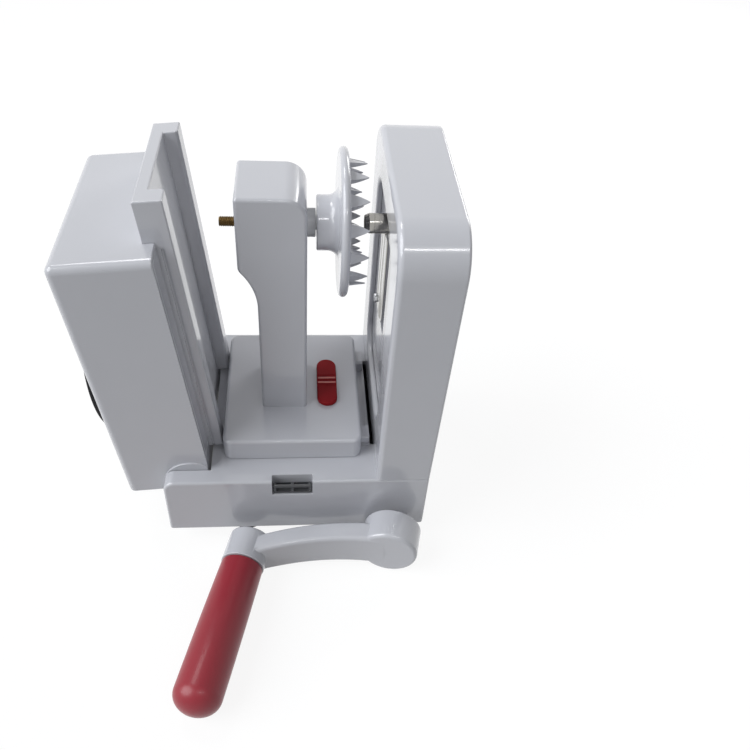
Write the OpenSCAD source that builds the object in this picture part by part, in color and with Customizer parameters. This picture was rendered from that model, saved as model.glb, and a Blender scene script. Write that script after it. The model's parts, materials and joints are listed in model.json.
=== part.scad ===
// Folding hand spiralizer, put away: the track leans up against the carriage
// and the crank is off its stud, lying on the table in front of the base.
// X runs from the track to the blade housing, Y away from the front, Z up.
// The origin is on the table, under the middle of the base.

/* [Base] */
// Length of the base along X
base_len = 165; // [160:1:200]
// Depth of the base along Y
base_depth = 140; // [130:1:170]
// Height of the base from its underside to the deck
base_h = 46.5; // [44.5:0.5:60]
// Wall thickness of the white mouldings
wall = 3; // [2:0.25:4]
// Thickness of the deck
deck_t = 3.5; // [2.5:0.5:5]
// Thickness of the bottom cover
cover_t = 3; // [2:0.5:4]
// Height of the rubber feet
foot_h = 11; // [9:0.5:16]
// Radius of a rubber foot at the table
foot_r = 13; // [11:0.5:16]
// Inset of the feet from the edges of the bottom cover
foot_inset = 17; // [15:0.5:26]
// Thickness of the cheeks that carry the hinge
cheek_t = 10.5; // [10:0.5:16]
// Radius of the cheeks' upper outer corner
cheek_corner = 7; // [3:0.5:10]

/* [Track] */
// Distance of the hinge axis from the left end of the base
hinge_inset = 16.5; // [14:0.5:20]
// Depth of the hinge axis below the deck, and below the track's inner face
hinge_drop = 11.5; // [9:0.5:14]
// Radius of a hinge pin
pin_r = 4; // [3:0.25:5]
// Lean of the folded track from upright, in degrees
fold_lean = 5.4; // [4:0.1:9]
// Length of the track box above the hinge axis
track_len = 167; // [150:1:190]
// Length of the track box below the hinge axis
track_tail = 6; // [4:0.5:8]
// Thickness of the track box
track_t = 53; // [46:0.5:53]
// Radius of the boss round the hinge on the sides of the track
boss_r = 17.3; // [12:0.1:18]
// Half of the width of the rails
rail_half = 41.3; // [36:0.1:44]
// Width of one rail
rail_w = 12; // [9:0.5:14]
// Height of the rails above the deck
rail_h = 8.5; // [5.5:0.25:8.5]
// Depth of the rail frame in the track
frame_seat = 6.4; // [4:0.2:8]
// Reach of the rail frame past the top of the track box
frame_proud = 23.5; // [10:0.5:30]
// Height of the rail frame's lower end above the hinge axis
frame_start = 13; // [12:0.5:20]
// Radius of the suction pad
pad_r = 45; // [36:0.5:50]
// Height of the suction pad's middle above the hinge axis
pad_place = 66; // [55:1:90]

/* [Carriage] */
// Length of the carriage along X
car_len = 87; // [80:0.5:92]
// Depth of the carriage along Y
car_depth = 102; // [98:1:112]
// Height of the carriage's top above the deck
car_top = 16.3; // [15.5:0.1:20]
// Corner radius of the carriage seen from above
car_corner = 6; // [4:0.5:12]
// Length of the lock slider along Y
slider_len = 42; // [36:0.5:46]
// Width of the lock slider
slider_w = 13; // [11:0.5:15]
// Distance of the lock slider's middle from the carriage's left side
slider_place = 66; // [66:0.5:72]
// Travel of the lock slider each way
slider_travel = 6; // [3:0.5:7]

/* [Column] */
// Distance of the column from the carriage's left side
col_place = 24.1; // [22:0.1:30]
// Width of the column's stem along X
col_w = 28.3; // [26:0.1:31]
// Depth of the column along Y
col_d = 42; // [34:0.5:46]
// Overhang of the column's head towards the track
head_reach = 10.1; // [6:0.1:12]
// Height of the column above the spindle axis
head_rise = 26.5; // [22:0.5:32]
// Radius of the concave sweep under the head
sweep_r = 40; // [30:1:100]
// Depth of the sweep's lower end below the spindle axis
sweep_drop = 46; // [40:0.5:65]
// Radius of the head's corner above the disc
head_corner = 12; // [6:0.5:16]

/* [Spindle] */
// Height of the spindle axis above the deck
axis_h = 142.5; // [138:0.5:150]
// Radius of the spindle rod
rod_r = 4; // [3:0.25:4.5]
// Radius of the threaded brass stud
stud_r = 2.9; // [2:0.1:3]
// Length of the stud outside the column
stud_len = 10; // [7:0.5:12]
// Radius of the bushes' flanges
collar_r = 8; // [6:0.1:9]
// Length of the grey collar between column and disc
collar_len = 4.7; // [3:0.1:6]
// Radius of the disc's hub
hub_r = 15.5; // [11:0.5:17]
// Length of the disc's hub
hub_len = 12.2; // [9:0.1:14]
// Radius of the spiked disc
disc_r = 41.5; // [36:0.5:42]
// Thickness of the spiked disc
disc_t = 5; // [4:0.25:6]
// Length of the spikes
spike_len = 10.4; // [7:0.2:11]
// Number of spikes in the outer ring
spike_count = 14; // [10:1:18]

/* [Blade housing] */
// Thickness of the housing along X
house_t = 33.7; // [31:0.1:36]
// Height of the housing above the deck
house_h = 176.5; // [168:0.5:186]
// Radius of the housing's upper corners
house_corner = 24; // [15:1:32]
// Lean of the housing's outer face, in degrees
house_draft = 1; // [0:0.1:2]
// Half of the window's width
window_half = 43; // [40:0.5:45]
// Thickness of the blade frame
blade_frame_t = 5; // [4:0.25:6]
// Radius of the core tube
tube_r = 5.75; // [4:0.25:6]
// Reach of the core tube past the housing's inner face
tube_reach = 10.8; // [8:0.2:11]
// Width of the blade
blade_w = 24; // [12:0.5:26]
// Length of the blade
blade_len = 66; // [40:1:70]

/* [Crank] */
// Distance between the hub's axis and the grip's axis
crank_len = 88; // [75:1:100]
// Radius of the crank's hub
crank_hub_r = 18.5; // [16:0.5:20]
// Length of the crank's hub
crank_hub_len = 21; // [19:0.5:26]
// Sweep of the arm along its axis, from the hub to the grip
arm_sweep = 25; // [15:0.5:32]
// Thickness of the arm
arm_t = 14; // [10:0.5:16]
// Radius of the grip
grip_r = 14; // [12:0.25:15]
// Length of the grip
grip_len = 94; // [80:1:110]
// Turn of the crank on the table, in degrees
crank_yaw = 14; // [8:0.5:20]
// Gap between the crank's hub and the base's front
crank_gap = 7.5; // [7:0.5:20]

/* [Hidden] */
$fn = 64;

// Clearances: a running fit, a loose seat, the gap between moving bodies, and overlaps for cuts and joins
fit = 0.05;
seat = 0.25;
gap = 0.4;
over = 1;
touch = 0.01;

// Colours
white = [0.86, 0.88, 0.91];
grey = [0.55, 0.57, 0.6];
dark = [0.2, 0.21, 0.23];
black = [0.06, 0.06, 0.07];
red = [0.68, 0.07, 0.1];
steel = [0.72, 0.73, 0.74];
brass = [0.62, 0.47, 0.2];

// Screws and the bosses that take them
screw_r = 1.5;
head_r = 2.9;
head_h = 2;
screw_boss_r = 4;
thread_grip = 10;
thread_room = 2;
boss_h = thread_grip + 2 * thread_room;

// Base
deck_z = foot_h + base_h;
half_depth = base_depth / 2;
hinge_gap = 0.7;
gap_x = hinge_inset + hinge_drop + hinge_gap;
bay_x = gap_x + wall;
bay_len = base_len - wall - bay_x;
foot_stem_r = 3.9;
foot_neck = 3.2;
foot_cup = 2.5;
foot_lip = 2;

// Front catch
catch_w = 25;
catch_h = 12.5;
catch_deep = 6;
catch_off = 3.5;
catch_x = base_len / 2 - catch_off - catch_w / 2;
catch_travel = 2;
catch_set = 0.6;
catch_low = 4;
catch_rim = 2;
catch_bar = 1.6;

// Track, in its own frame: x out of its inner face, z along it, origin on the hinge axis
track_side_gap = 1.5;
track_half = half_depth - cheek_t - track_side_gap;
track_out = hinge_drop - track_t;
hollow_gap = 2;
hollow_z = boss_r + hollow_gap;
panel_t = 4;
post_r = 5;
frame_screw_inset = 20;
frame_screw_seat = 8;
frame_floor = 3;
pin_run = 12;
pin_end = 0.2;
plate_rise = 0.5;
frame_end = track_len + frame_proud;
pad_h = deck_z - track_t;
lip_share = 41 / 75;
pad_lip = pad_h * lip_share;
pad_neck_r = 18;
pad_hollow = 18;
ring_h = pad_h - pad_lip;
ring_inset = 2;
ring_r = pad_r - ring_inset;

// Rails
groove_low = 2;
groove_high = 3.5;
groove_deep = 1.2;
rail_edge = 1.5;
rail_soft = 0.5;
rail_cap = 1.2;
rail_screw_inset = 14;

// Carriage
rail_nose = hinge_inset + (hinge_drop + rail_h) * cos(fold_lean) - frame_start * sin(fold_lean);
car_x = rail_nose + hinge_gap;
house_x = base_len - house_t;
rail_stop = 3;
rail_end = house_x - rail_stop;
car_wall = 2.5;
roof_cap = 1;
rail_room = 0.6;
run_gap = 0.3;
sled_low = rail_h + run_gap;
sled_t = 3;
sled_top = sled_low + sled_t;
sled_fill = 5 / 9;
sled_side = (car_depth / 2 - car_wall - rail_half) * sled_fill;
car_roof = car_top - car_wall;
car_screw_inset = 10;
slider_x = car_x + slider_place;
slider_h = 3;
rib_pitch = 4.2;
rib_cut = 1.4;
rib_rise = 0.6;
stem_w = 7;
stem_len = 12;
tongue_w = 11;
tongue_len = 24;

// Column and spindle
col_x = car_x + col_place;
col_x1 = col_x + col_w;
head_x = col_x - head_reach;
col_top = axis_h + head_rise;
sweep_z = axis_h - sweep_drop;
col_floor_t = 4;
col_floor = car_top + col_floor_t;
brow_r = 2;
sweep_lip = 6;
col_screw_low = 16;
col_screw_mid = 70;
col_screw_edge = 9;
col_foot_inset = 6;
bush_wall = 2;
bush_r = rod_r + bush_wall;
bush_hold = 9;
bush_pad = 4;
stud_hold = 8;
stud_neck = 1;
stud_step = 0.6;
shank_r = stud_r - stud_step;
rod_stop = 4;
rod_gap = 0.2;
clip_t = 1.5;
clip_rim = 3;
hub_x = col_x1 + collar_len + gap;
disc_x = hub_x + hub_len;
spike_x = disc_x + disc_t;
hub_sweep = 6;
tube_room = 1.5;
tube_pocket = 2;
spike_inset = 8;
spike_w = 9;
spike_t = 3.2;
spike_root = 0.5;
spike_point = 0.2;
inner_ring_r = 17;
inner_less = 2;

// Blade housing
face_t = 2.8;
seat_deep = 3.2;
split_deep = 18.5;
seat_x = house_x + seat_deep;
house_part = house_x + split_deep;
house_far = base_len + house_h * tan(house_draft);
window_low = 20;
window_top_t = 24;
window_high = house_h - window_top_t;
opening_side = 5;
opening_under = 6;
opening_over = 5;
opening_half = window_half + opening_side;
opening_low = window_low - opening_under;
opening_high = window_high + opening_over;
opening_corner = 16;
house_screw_in = 9;
house_screw_clear = 2;
house_screw_y = half_depth - wall - screw_boss_r - over;
house_screw_x = [house_x + house_screw_in, house_part + screw_boss_r + house_screw_clear];
cover_screw_drop = 10;
cover_screw_start = 8;
cover_screw_z = [wall + boss_h + screw_boss_r, house_h - house_corner - cover_screw_drop];
cover_screw_x = house_x + cover_screw_start;

// Blade insert
blade_play = 0.2;
blade_drop = 2;
blade_x0 = seat_x + blade_play;
blade_x1 = blade_x0 + blade_frame_t;
blade_top = axis_h - tube_r - blade_drop;
blade_low = blade_top - blade_len;
blade_t = 1.2;
blade_back = 23;
blade_slant = 2;
throat_w = 18;
throat_y = -3;
throat_corner = 3;
blade_screw_in = 4;
blade_screw_low = 6;
blade_screw_high = 8;
blade_screw_y = blade_back - blade_screw_in;
blade_screw_z = [blade_low + blade_screw_low, blade_top - blade_screw_high];
tube_wall = 1.3;
tube_nose = 2.5;
tube_boss = 3;
tube_hold = 5;
tab_t = 3;
tab_len = 40;
tab_inset = 6;
tab_drop = 70;

// Crank, in its own frame: the hub's back end at the origin, the grip towards -y
crank_roll = asin((crank_hub_r - grip_r) / crank_len);
crank_inset = 21;
crank_x = base_len - crank_inset;
crank_y = -half_depth - crank_gap;
boss_len = 21;
boss_cap = 3;
grip_start = crank_hub_len + arm_sweep;
grip_boss_r = grip_r - gap;
grip_pin_r = 4;
arm_half_hub = 13;
arm_half_grip = 11.5;
arm_steps = 10;
insert_r = 5;
insert_len = 13;
grip_dome = 11;
grip_taper = 0.9;
grip_lip = 1;
grip_hold = grip_len - 2 * grip_dome;

// Frames
module at_deck() { translate([-base_len / 2, 0, deck_z]) children(); }
module at_hinge() { at_deck() translate([hinge_inset, 0, -hinge_drop]) children(); }
module at_track() { at_hinge() rotate([0, -fold_lean, 0]) children(); }
module at_pad() { at_track() translate([track_out, 0, pad_place]) rotate([0, -90, 0]) children(); }
module at_axis(x) { at_deck() translate([x, 0, axis_h]) rotate([0, 90, 0]) children(); }
module at_crank() {
    translate([crank_x - base_len / 2, crank_y, crank_hub_r])
        rotate([0, 0, -crank_yaw]) rotate([0, -crank_roll, 0]) children();
}

// Shared shapes
function arc(c, r, a0, a1, n) =
    [for (i = [0 : n]) let (a = a0 + (a1 - a0) * i / n) [c[0] + r * cos(a), c[1] + r * sin(a)]];
// The children once on each side of the front-to-back middle plane
module both_sides() { for (side = [0, 1]) mirror([0, side, 0]) children(); }
// Rod along x or y between two places
module along_x_rod(x0, x1, r) { translate([x0, 0, 0]) rotate([0, 90, 0]) cylinder(h = x1 - x0, r = r); }
module along_y(y0, y1, r) { translate([0, y0, 0]) rotate([-90, 0, 0]) cylinder(h = y1 - y0, r = r); }
// Outline in y and z, extruded along x between two places
module along_x(x0, x1) { translate([x0, 0, 0]) rotate([90, 0, 90]) linear_extrude(x1 - x0) children(); }
// Plate outline with round corners, from corner a to corner b
module round_plate(a, b, r) {
    translate([a[0] + r, a[1]]) square([b[0] - a[0] - 2 * r, b[1] - a[1]]);
    translate([a[0], a[1] + r]) square([b[0] - a[0], b[1] - a[1] - 2 * r]);
    for (x = [a[0] + r, b[0] - r], y = [a[1] + r, b[1] - r]) translate([x, y]) circle(r);
}
// Screw with its head below z = 0 and its shank above, and the hole for it
module screw(length) {
    translate([0, 0, -head_h]) cylinder(h = head_h, r = head_r);
    translate([0, 0, -touch]) cylinder(h = length + touch, r = screw_r);
}
module screw_hole(length) { translate([0, 0, -over]) cylinder(h = length + over, r = screw_r + fit); }

// Places of the screws and feet
base_screw_places = [for (x = [bay_x + screw_boss_r, house_x - 3 * screw_boss_r], y = [-1, 1])
    [x, y * (half_depth - wall - screw_boss_r)]];
rail_screw_places = [for (x = [car_x + rail_screw_inset, rail_end - rail_screw_inset], y = [-1, 1])
    [x, y * (rail_half - rail_w / 2)]];
house_screw_places = [for (x = house_screw_x, y = [-1, 1]) [x, y * house_screw_y]];
foot_places = [for (x = [bay_x + foot_inset, base_len - wall - foot_inset], y = [-1, 1])
    [x, y * (half_depth - wall - foot_inset)]];
frame_screw_places = [for (z = [frame_start + frame_screw_inset, track_len - frame_screw_inset], y = [-1, 1])
    [y * (rail_half - rail_w / 2), z]];
car_screw_places = [for (x = [car_x + car_screw_inset, car_x + car_len - car_screw_inset], y = [-1, 1])
    [x, y * (rail_half - rail_w - screw_boss_r - over)]];
col_foot_places = [for (x = [col_x + col_foot_inset, col_x1 - col_foot_inset], y = [-1, 1])
    [x, y * (col_d / 2 - col_foot_inset)]];
col_screw_places = [
    [col_x + col_w / 2, car_top + col_screw_low], [col_x + col_w / 2, car_top + col_screw_mid],
    [col_x1 - col_screw_edge, col_top - col_screw_edge]];
cover_screw_places = [for (y = [-1, 1], z = cover_screw_z) [y * house_screw_y, z]];

// Base: one shell with the deck, two hinge cheeks, screw bosses and the pocket of the front catch
module base_outline() {
    translate([cheek_corner, -base_h]) square([base_len - cheek_corner, base_h]);
    translate([0, -base_h]) square([cheek_corner + over, base_h - cheek_corner]);
    translate([cheek_corner, -cheek_corner]) circle(cheek_corner);
}
module base_hollow() {
    translate([-over, -half_depth + cheek_t, -base_h - over])
        cube([gap_x + over, base_depth - 2 * cheek_t, base_h + 2 * over]);
    translate([bay_x, -half_depth + wall, -base_h - over])
        cube([bay_len, base_depth - 2 * wall, base_h + over - deck_t]);
    both_sides() translate([wall, half_depth - cheek_t + wall, -base_h - over])
        cube([gap_x - wall, cheek_t - 2 * wall, base_h + over - hinge_drop - pin_r - wall]);
}
module base_shell() color(white) at_deck() difference() {
    union() {
        difference() {
            rotate([90, 0, 0]) linear_extrude(base_depth, center = true) base_outline();
            base_hollow();
        }
        for (p = base_screw_places) translate([p[0], p[1], -base_h + cover_t])
            cylinder(h = base_h - cover_t - deck_t + touch, r = screw_boss_r);
        translate([catch_x - wall, -half_depth + wall - touch, -catch_h - wall])
            cube([catch_w + 2 * wall, catch_deep + touch, catch_h + wall - touch]);
    }
    for (p = base_screw_places) translate([p[0], p[1], -base_h])
        screw_hole(cover_t + thread_grip + thread_room);
    for (p = concat(rail_screw_places, house_screw_places))
        translate([p[0], p[1], -deck_t]) screw_hole(deck_t + over);
    translate([catch_x, -half_depth - over, -catch_h]) cube([catch_w, catch_deep + over, catch_h + over]);
    translate([hinge_inset, 0, -hinge_drop]) both_sides()
        along_y(half_depth - cheek_t - over, half_depth - wall, pin_r + fit);
}

module base_bottom_cover() color(white) at_deck() difference() {
    translate([bay_x + seat, -half_depth + wall + seat, -base_h])
        cube([bay_len - 2 * seat, base_depth - 2 * (wall + seat), cover_t]);
    for (p = base_screw_places) translate([p[0], p[1], -base_h]) screw_hole(cover_t + over);
    for (p = foot_places) translate([p[0], p[1], -base_h - over])
        cylinder(h = cover_t + 2 * over, r = foot_stem_r + fit);
}

// Rubber feet: a hollow lip on the table, a neck and a stem through the bottom cover
module base_feet() color(black) at_deck() for (p = foot_places) translate([p[0], p[1], -base_h - foot_h])
    rotate_extrude() polygon([
        [0, foot_cup], [foot_r - 3 * foot_lip, foot_cup], [foot_r - foot_lip, 0], [foot_r, 0],
        [foot_r, foot_lip], [foot_r - foot_neck, 2 * foot_lip], [foot_r - foot_neck, foot_h],
        [foot_stem_r, foot_h], [foot_stem_r, foot_h + cover_t + over], [0, foot_h + cover_t + over]]);

module base_screws() color(steel) at_deck() for (p = base_screw_places)
    translate([p[0], p[1], -base_h]) screw(cover_t + thread_grip);

// Side of a rail on the -y side, with its height along x: a groove outside, a chamfer inside
function rail_side(low) = [
    [low, -rail_half], [groove_low, -rail_half], [groove_low, -rail_half + groove_deep],
    [groove_high, -rail_half + groove_deep], [groove_high, -rail_half], [rail_h - rail_soft, -rail_half],
    [rail_h, -rail_half + rail_soft], [rail_h, -rail_half + rail_w - rail_edge],
    [rail_h - rail_edge, -rail_half + rail_w]];
// The same points on the +y side, in reverse order
function other_side(points) = [for (i = [len(points) - 1 : -1 : 0]) [points[i][0], -points[i][1]]];
module rail_pair() {
    polygon(concat(rail_side(0), [[0, -rail_half + rail_w]]));
    polygon(concat([[0, rail_half - rail_w]], other_side(rail_side(0))));
}

module deck_rails() color(white) at_deck() difference() {
    translate([rail_end, 0, 0]) rotate([0, -90, 0]) linear_extrude(rail_end - car_x) rail_pair();
    for (p = rail_screw_places) translate([p[0], p[1], 0]) screw_hole(rail_h - rail_cap);
}

module deck_rail_screws() color(steel) at_deck() for (p = rail_screw_places)
    translate([p[0], p[1], -deck_t]) screw(deck_t + rail_h - rail_cap - gap);

module hinge_pins() color(steel) at_hinge() both_sides()
    along_y(track_half - pin_run, half_depth - wall - pin_end, pin_r);

// Dark catch in the front edge: a block with two slots and a bar between them
module front_catch() color(dark) at_deck()
    translate([catch_x + gap, -half_depth + catch_set, -catch_h + gap]) difference() {
        block = [catch_w - 2 * gap, catch_deep - catch_set - catch_travel - gap, catch_h - gap - catch_low];
        slot_w = (block[0] - 2 * catch_rim - catch_bar) / 2;
        cube(block);
        for (x = [catch_rim, catch_rim + slot_w + catch_bar]) translate([x, -over, catch_rim])
            cube([slot_w, over + catch_bar, block[2] - 2 * catch_rim]);
    }

// Track: a box that is open towards the rails, with a boss round each hinge pin
module track_outline() difference() {
    translate([track_out, -track_tail]) square([track_t, track_len + track_tail]);
    difference() {
        translate([0, -track_tail - over]) square([hinge_drop + over, track_tail + over]);
        circle(hinge_drop);
    }
}
module track_block(width) { rotate([90, 0, 0]) linear_extrude(width, center = true) track_outline(); }
module track_hollow() {
    translate([track_out + wall, -track_half + wall, hollow_z])
        cube([track_t, 2 * (track_half - wall), track_len - wall - hollow_z]);
    translate([track_out + wall, -track_half + pin_run + wall, wall - track_tail])
        cube([track_t - frame_seat - 2 * wall, 2 * (track_half - pin_run - wall), track_tail + boss_r]);
}
module track_box() color(white) at_track() difference() {
    union() {
        difference() {
            track_block(2 * track_half);
            track_hollow();
        }
        for (p = frame_screw_places) translate([0, p[0], p[1]])
            along_x_rod(track_out + wall - touch, hinge_drop - frame_seat, post_r);
        intersection() {
            along_y(-track_half - track_side_gap + gap, track_half + track_side_gap - gap, boss_r);
            track_block(3 * track_half);
        }
    }
    translate([hinge_drop - frame_seat, -rail_half - seat, frame_start - seat])
        cube([frame_seat + over, 2 * (rail_half + seat), track_len]);
    both_sides() along_y(track_half - pin_run - gap, track_half + 2 * track_side_gap, pin_r + fit);
    for (p = frame_screw_places) translate([0, p[0], p[1]]) {
        along_x_rod(track_out - over, hinge_drop + over, screw_r + fit);
        along_x_rod(track_out - over, hinge_drop - frame_seat - frame_screw_seat, head_r + seat);
    }
    translate([0, 0, pad_place]) along_x_rod(track_out - over, track_out + wall + over, pad_neck_r + fit);
}

// Inner cover strips of the track, either side of the rail frame
module track_panel() color(white) at_track() both_sides()
    translate([hinge_drop - panel_t, rail_half + 2 * seat, hollow_z + seat])
        cube([panel_t, track_half - wall - rail_half - 3 * seat, track_len - wall - hollow_z - 2 * seat]);

module rail_frame() color(white) at_track() difference() {
    translate([hinge_drop, 0, frame_start]) linear_extrude(frame_end - frame_start) polygon(concat(
        rail_side(-frame_seat), [[plate_rise, -rail_half + rail_w], [plate_rise, rail_half - rail_w]],
        other_side(rail_side(-frame_seat))));
    for (p = frame_screw_places) translate([0, p[0], p[1]])
        along_x_rod(hinge_drop - frame_seat - over, hinge_drop + frame_floor, screw_r + fit);
}

module rail_frame_screws() color(steel) at_track() for (p = frame_screw_places)
    translate([hinge_drop - frame_seat - frame_screw_seat, p[0], p[1]]) rotate([0, 90, 0])
        screw(frame_screw_seat + frame_seat + frame_floor - gap);

// Suction foot: a white ring on the track's outer face round the rubber pad's neck
module suction_ring() color(white) at_pad() rotate_extrude() polygon([
    [pad_neck_r + seat, 0], [ring_r, 0], [ring_r, ring_h / 2], [ring_r - ring_h / 2, ring_h],
    [pad_neck_r + seat, ring_h]]);
module suction_pad() color(black) at_pad() rotate_extrude() polygon([
    [0, -wall], [pad_neck_r, -wall], [pad_neck_r, ring_h], [pad_r - over, ring_h], [pad_r, ring_h + over],
    [pad_r, pad_h], [pad_r - foot_lip, pad_h], [pad_r - pad_hollow, ring_h + over], [0, ring_h + over]]);

// Carriage: a rounded cover over a sled whose lips run in the grooves of the rails
module car_outline(d) {
    round_plate([car_x + d, -car_depth / 2 + d], [car_x + car_len - d, car_depth / 2 - d], car_corner - d);
}
module carriage_cover() color(white) at_deck() difference() {
    union() {
        difference() {
            translate([0, 0, gap]) linear_extrude(car_top - gap) car_outline(0);
            translate([0, 0, -over]) linear_extrude(over + car_roof) car_outline(car_wall);
            both_sides() translate([car_x - over, rail_half - rail_w - rail_room, 0])
                cube([car_len + 2 * over, rail_w + 2 * rail_room, rail_h + rail_room]);
        }
        for (p = car_screw_places) translate([p[0], p[1], sled_top])
            cylinder(h = car_roof - sled_top + touch, r = screw_boss_r);
    }
    for (p = car_screw_places) translate([p[0], p[1], sled_top]) screw_hole(car_top - roof_cap - sled_top);
    for (p = col_foot_places) translate([p[0], p[1], car_roof]) screw_hole(car_wall + over);
    translate([slider_x - stem_w / 2 - gap, -stem_len / 2 - slider_travel - gap, car_roof - over])
        cube([stem_w + 2 * gap, stem_len + 2 * (slider_travel + gap), car_wall + 2 * over]);
}
module carriage_sled() color(grey) at_deck() difference() {
    intersection() {
        along_x(car_x, car_x + car_len) {
            translate([-rail_half - sled_side, sled_low]) square([2 * (rail_half + sled_side), sled_t]);
            for (side = [0, 1]) mirror([side, 0]) {
                translate([rail_half + run_gap, groove_low + run_gap])
                    square([sled_side - run_gap, sled_low - groove_low]);
                translate([rail_half - groove_deep + run_gap, groove_low + run_gap])
                    square([sled_side + groove_deep - run_gap, groove_high - groove_low - 2 * run_gap]);
            }
        }
        translate([0, 0, -over]) linear_extrude(sled_top + 2 * over) car_outline(car_wall + seat);
    }
    for (p = car_screw_places) translate([p[0], p[1], 0]) {
        screw_hole(sled_top + over);
        cylinder(h = sled_low + head_h, r = head_r + seat);
    }
}
module carriage_screws() color(steel) at_deck() for (p = car_screw_places)
    translate([p[0], p[1], sled_low + head_h]) screw(car_top - 2 * roof_cap - sled_low - head_h);

// Red slider on the carriage, with two ribs for the thumb, and its tongue under the roof
module lock_slider() color(red) at_deck() {
    translate([0, 0, car_top + run_gap]) difference() {
        linear_extrude(slider_h) round_plate([slider_x - slider_w / 2, -slider_len / 2],
            [slider_x + slider_w / 2, slider_len / 2], slider_w / 2 - touch);
        for (i = [-1 : 1]) translate([0, i * rib_pitch, slider_h + rib_rise])
            along_x_rod(slider_x - slider_w, slider_x + slider_w, rib_cut);
    }
    translate([slider_x - stem_w / 2, -stem_len / 2, car_roof - gap])
        cube([stem_w, stem_len, car_wall + gap + 2 * run_gap]);
}
module lock_tongue() color(dark) at_deck()
    translate([slider_x - tongue_w / 2, -tongue_len / 2, sled_top + gap])
        cube([tongue_w, tongue_len, car_roof - sled_top - 2 * gap]);

// Column: two halves that part at the spindle axis, with a rounded lip and a concave sweep under the head
module column_outline(d, low) {
    sweep_c = [col_x - sweep_r, sweep_z];
    lip_x = head_x + sweep_lip;
    lip_a = acos((lip_x - sweep_c[0]) / (sweep_r + sweep_lip));
    lip_c = [lip_x, sweep_z + (sweep_r + sweep_lip) * sin(lip_a)];
    polygon(concat(
        [[col_x + d, low], [col_x1 - d, low]],
        arc([col_x1 - head_corner, col_top - head_corner], head_corner - d, 0, 90, 10),
        arc([head_x + d + brow_r, col_top - d - brow_r], brow_r, 90, 180, 4),
        arc(lip_c, sweep_lip - d, 180, 180 + lip_a, 4),
        arc(sweep_c, sweep_r + d, lip_a, 0, 12)));
}
module column_block(d, low) {
    rotate([90, 0, 0]) linear_extrude(col_d - 2 * d, center = true) column_outline(d, low);
}
module column_body() difference() {
    union() {
        difference() {
            column_block(0, car_top);
            column_block(wall, col_floor);
        }
        translate([0, 0, axis_h]) {
            along_x_rod(head_x + wall - touch, head_x + bush_hold, bush_r + bush_pad);
            along_x_rod(col_x1 - bush_hold, col_x1 - wall + touch, bush_r + bush_pad);
        }
        for (p = col_screw_places) translate([p[0], 0, p[1]])
            along_y(-col_d / 2 + over, col_d / 2 - over, screw_boss_r);
        for (p = col_foot_places) translate([p[0], p[1], car_top]) cylinder(h = boss_h, r = screw_boss_r);
    }
    translate([0, 0, axis_h]) along_x_rod(head_x - over, col_x1 + over, bush_r + fit);
    for (p = col_screw_places) translate([p[0], 0, p[1]]) {
        along_y(-col_d / 2 + wall, col_d / 2 + over, screw_r + fit);
        along_y(col_d / 2 - wall, col_d / 2 + over, head_r + seat);
    }
    for (p = col_foot_places) translate([p[0], p[1], car_top]) screw_hole(thread_grip + thread_room);
}
module column_half(y0) intersection() {
    column_body();
    translate([head_x - over, y0, car_top - over])
        cube([col_w + head_reach + 2 * over, col_d / 2 + over, col_top]);
}
module column_front() color(white) at_deck() column_half(-col_d / 2 - over);
module column_rear() color(white) at_deck() column_half(0);
module column_screws() color(steel) at_deck() for (p = col_screw_places)
    translate([p[0], col_d / 2 - wall, p[1]]) rotate([90, 0, 0]) screw(col_d - 2 * wall - thread_room);
module column_foot_screws() color(steel) at_deck() for (p = col_foot_places)
    translate([p[0], p[1], car_roof]) screw(car_wall + thread_grip);

// Bushes: the right one's flange is the grey collar beside the disc
module bush(flange) difference() {
    union() {
        cylinder(h = bush_hold, r = bush_r);
        if (flange > 0) {
            cylinder(h = bush_hold + flange, r = bush_r);
            translate([0, 0, bush_hold]) cylinder(h = flange, r = collar_r);
        }
    }
    translate([0, 0, -over]) cylinder(h = bush_hold + flange + 2 * over, r = rod_r + fit);
}
module bush_left() color(grey) at_axis(head_x) bush(0);
module bush_right() color(grey) at_axis(col_x1 - bush_hold) bush(collar_len);

// Spindle: steel rod, brass stud for the crank, retaining clip, disc with spikes
module spindle_rod() color(steel) at_axis(head_x + rod_gap) difference() {
    cylinder(h = disc_x - rod_stop - 2 * rod_gap - head_x, r = rod_r);
    translate([0, 0, -over]) cylinder(h = stud_hold + over, r = shank_r + fit);
}
module crank_stud() color(brass) at_axis(head_x - stud_len) {
    cylinder(h = stud_len - stud_neck, r = stud_r);
    cylinder(h = stud_len + stud_hold, r = shank_r);
}
module spindle_clip() color(steel) at_axis(head_x + bush_hold + gap) difference() {
    cylinder(h = clip_t, r = rod_r + clip_rim);
    translate([0, 0, -over]) cylinder(h = clip_t + 2 * over, r = rod_r + fit);
}
// One spike: a pyramid that points along +x
module spike(long, wide) intersection() {
    linear_extrude(spike_t, center = true)
        polygon([[-spike_root, -wide / 2], [long, 0], [-spike_root, wide / 2]]);
    rotate([90, 0, 0]) linear_extrude(wide + over, center = true) polygon([
        [-spike_root, -spike_t / 2], [long, -spike_point], [long, spike_point], [-spike_root, spike_t / 2]]);
}
module spike_ring(count, radius, long, wide) {
    for (i = [0 : count - 1]) rotate([(i + 0.5) * 360 / count, 0, 0])
        translate([0, 0, radius]) spike(long, wide);
}
module disc_profile() {
    rim_r = disc_r - disc_t / 2;
    polygon(concat(
        [[0, 0], [hub_r - over, 0], [hub_r, over]],
        arc([hub_r + hub_sweep, hub_len - hub_sweep], hub_sweep, 180, 90, 6),
        arc([rim_r, hub_len + disc_t / 2], disc_t / 2, -90, 90, 10),
        [[0, hub_len + disc_t]]));
}
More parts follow.
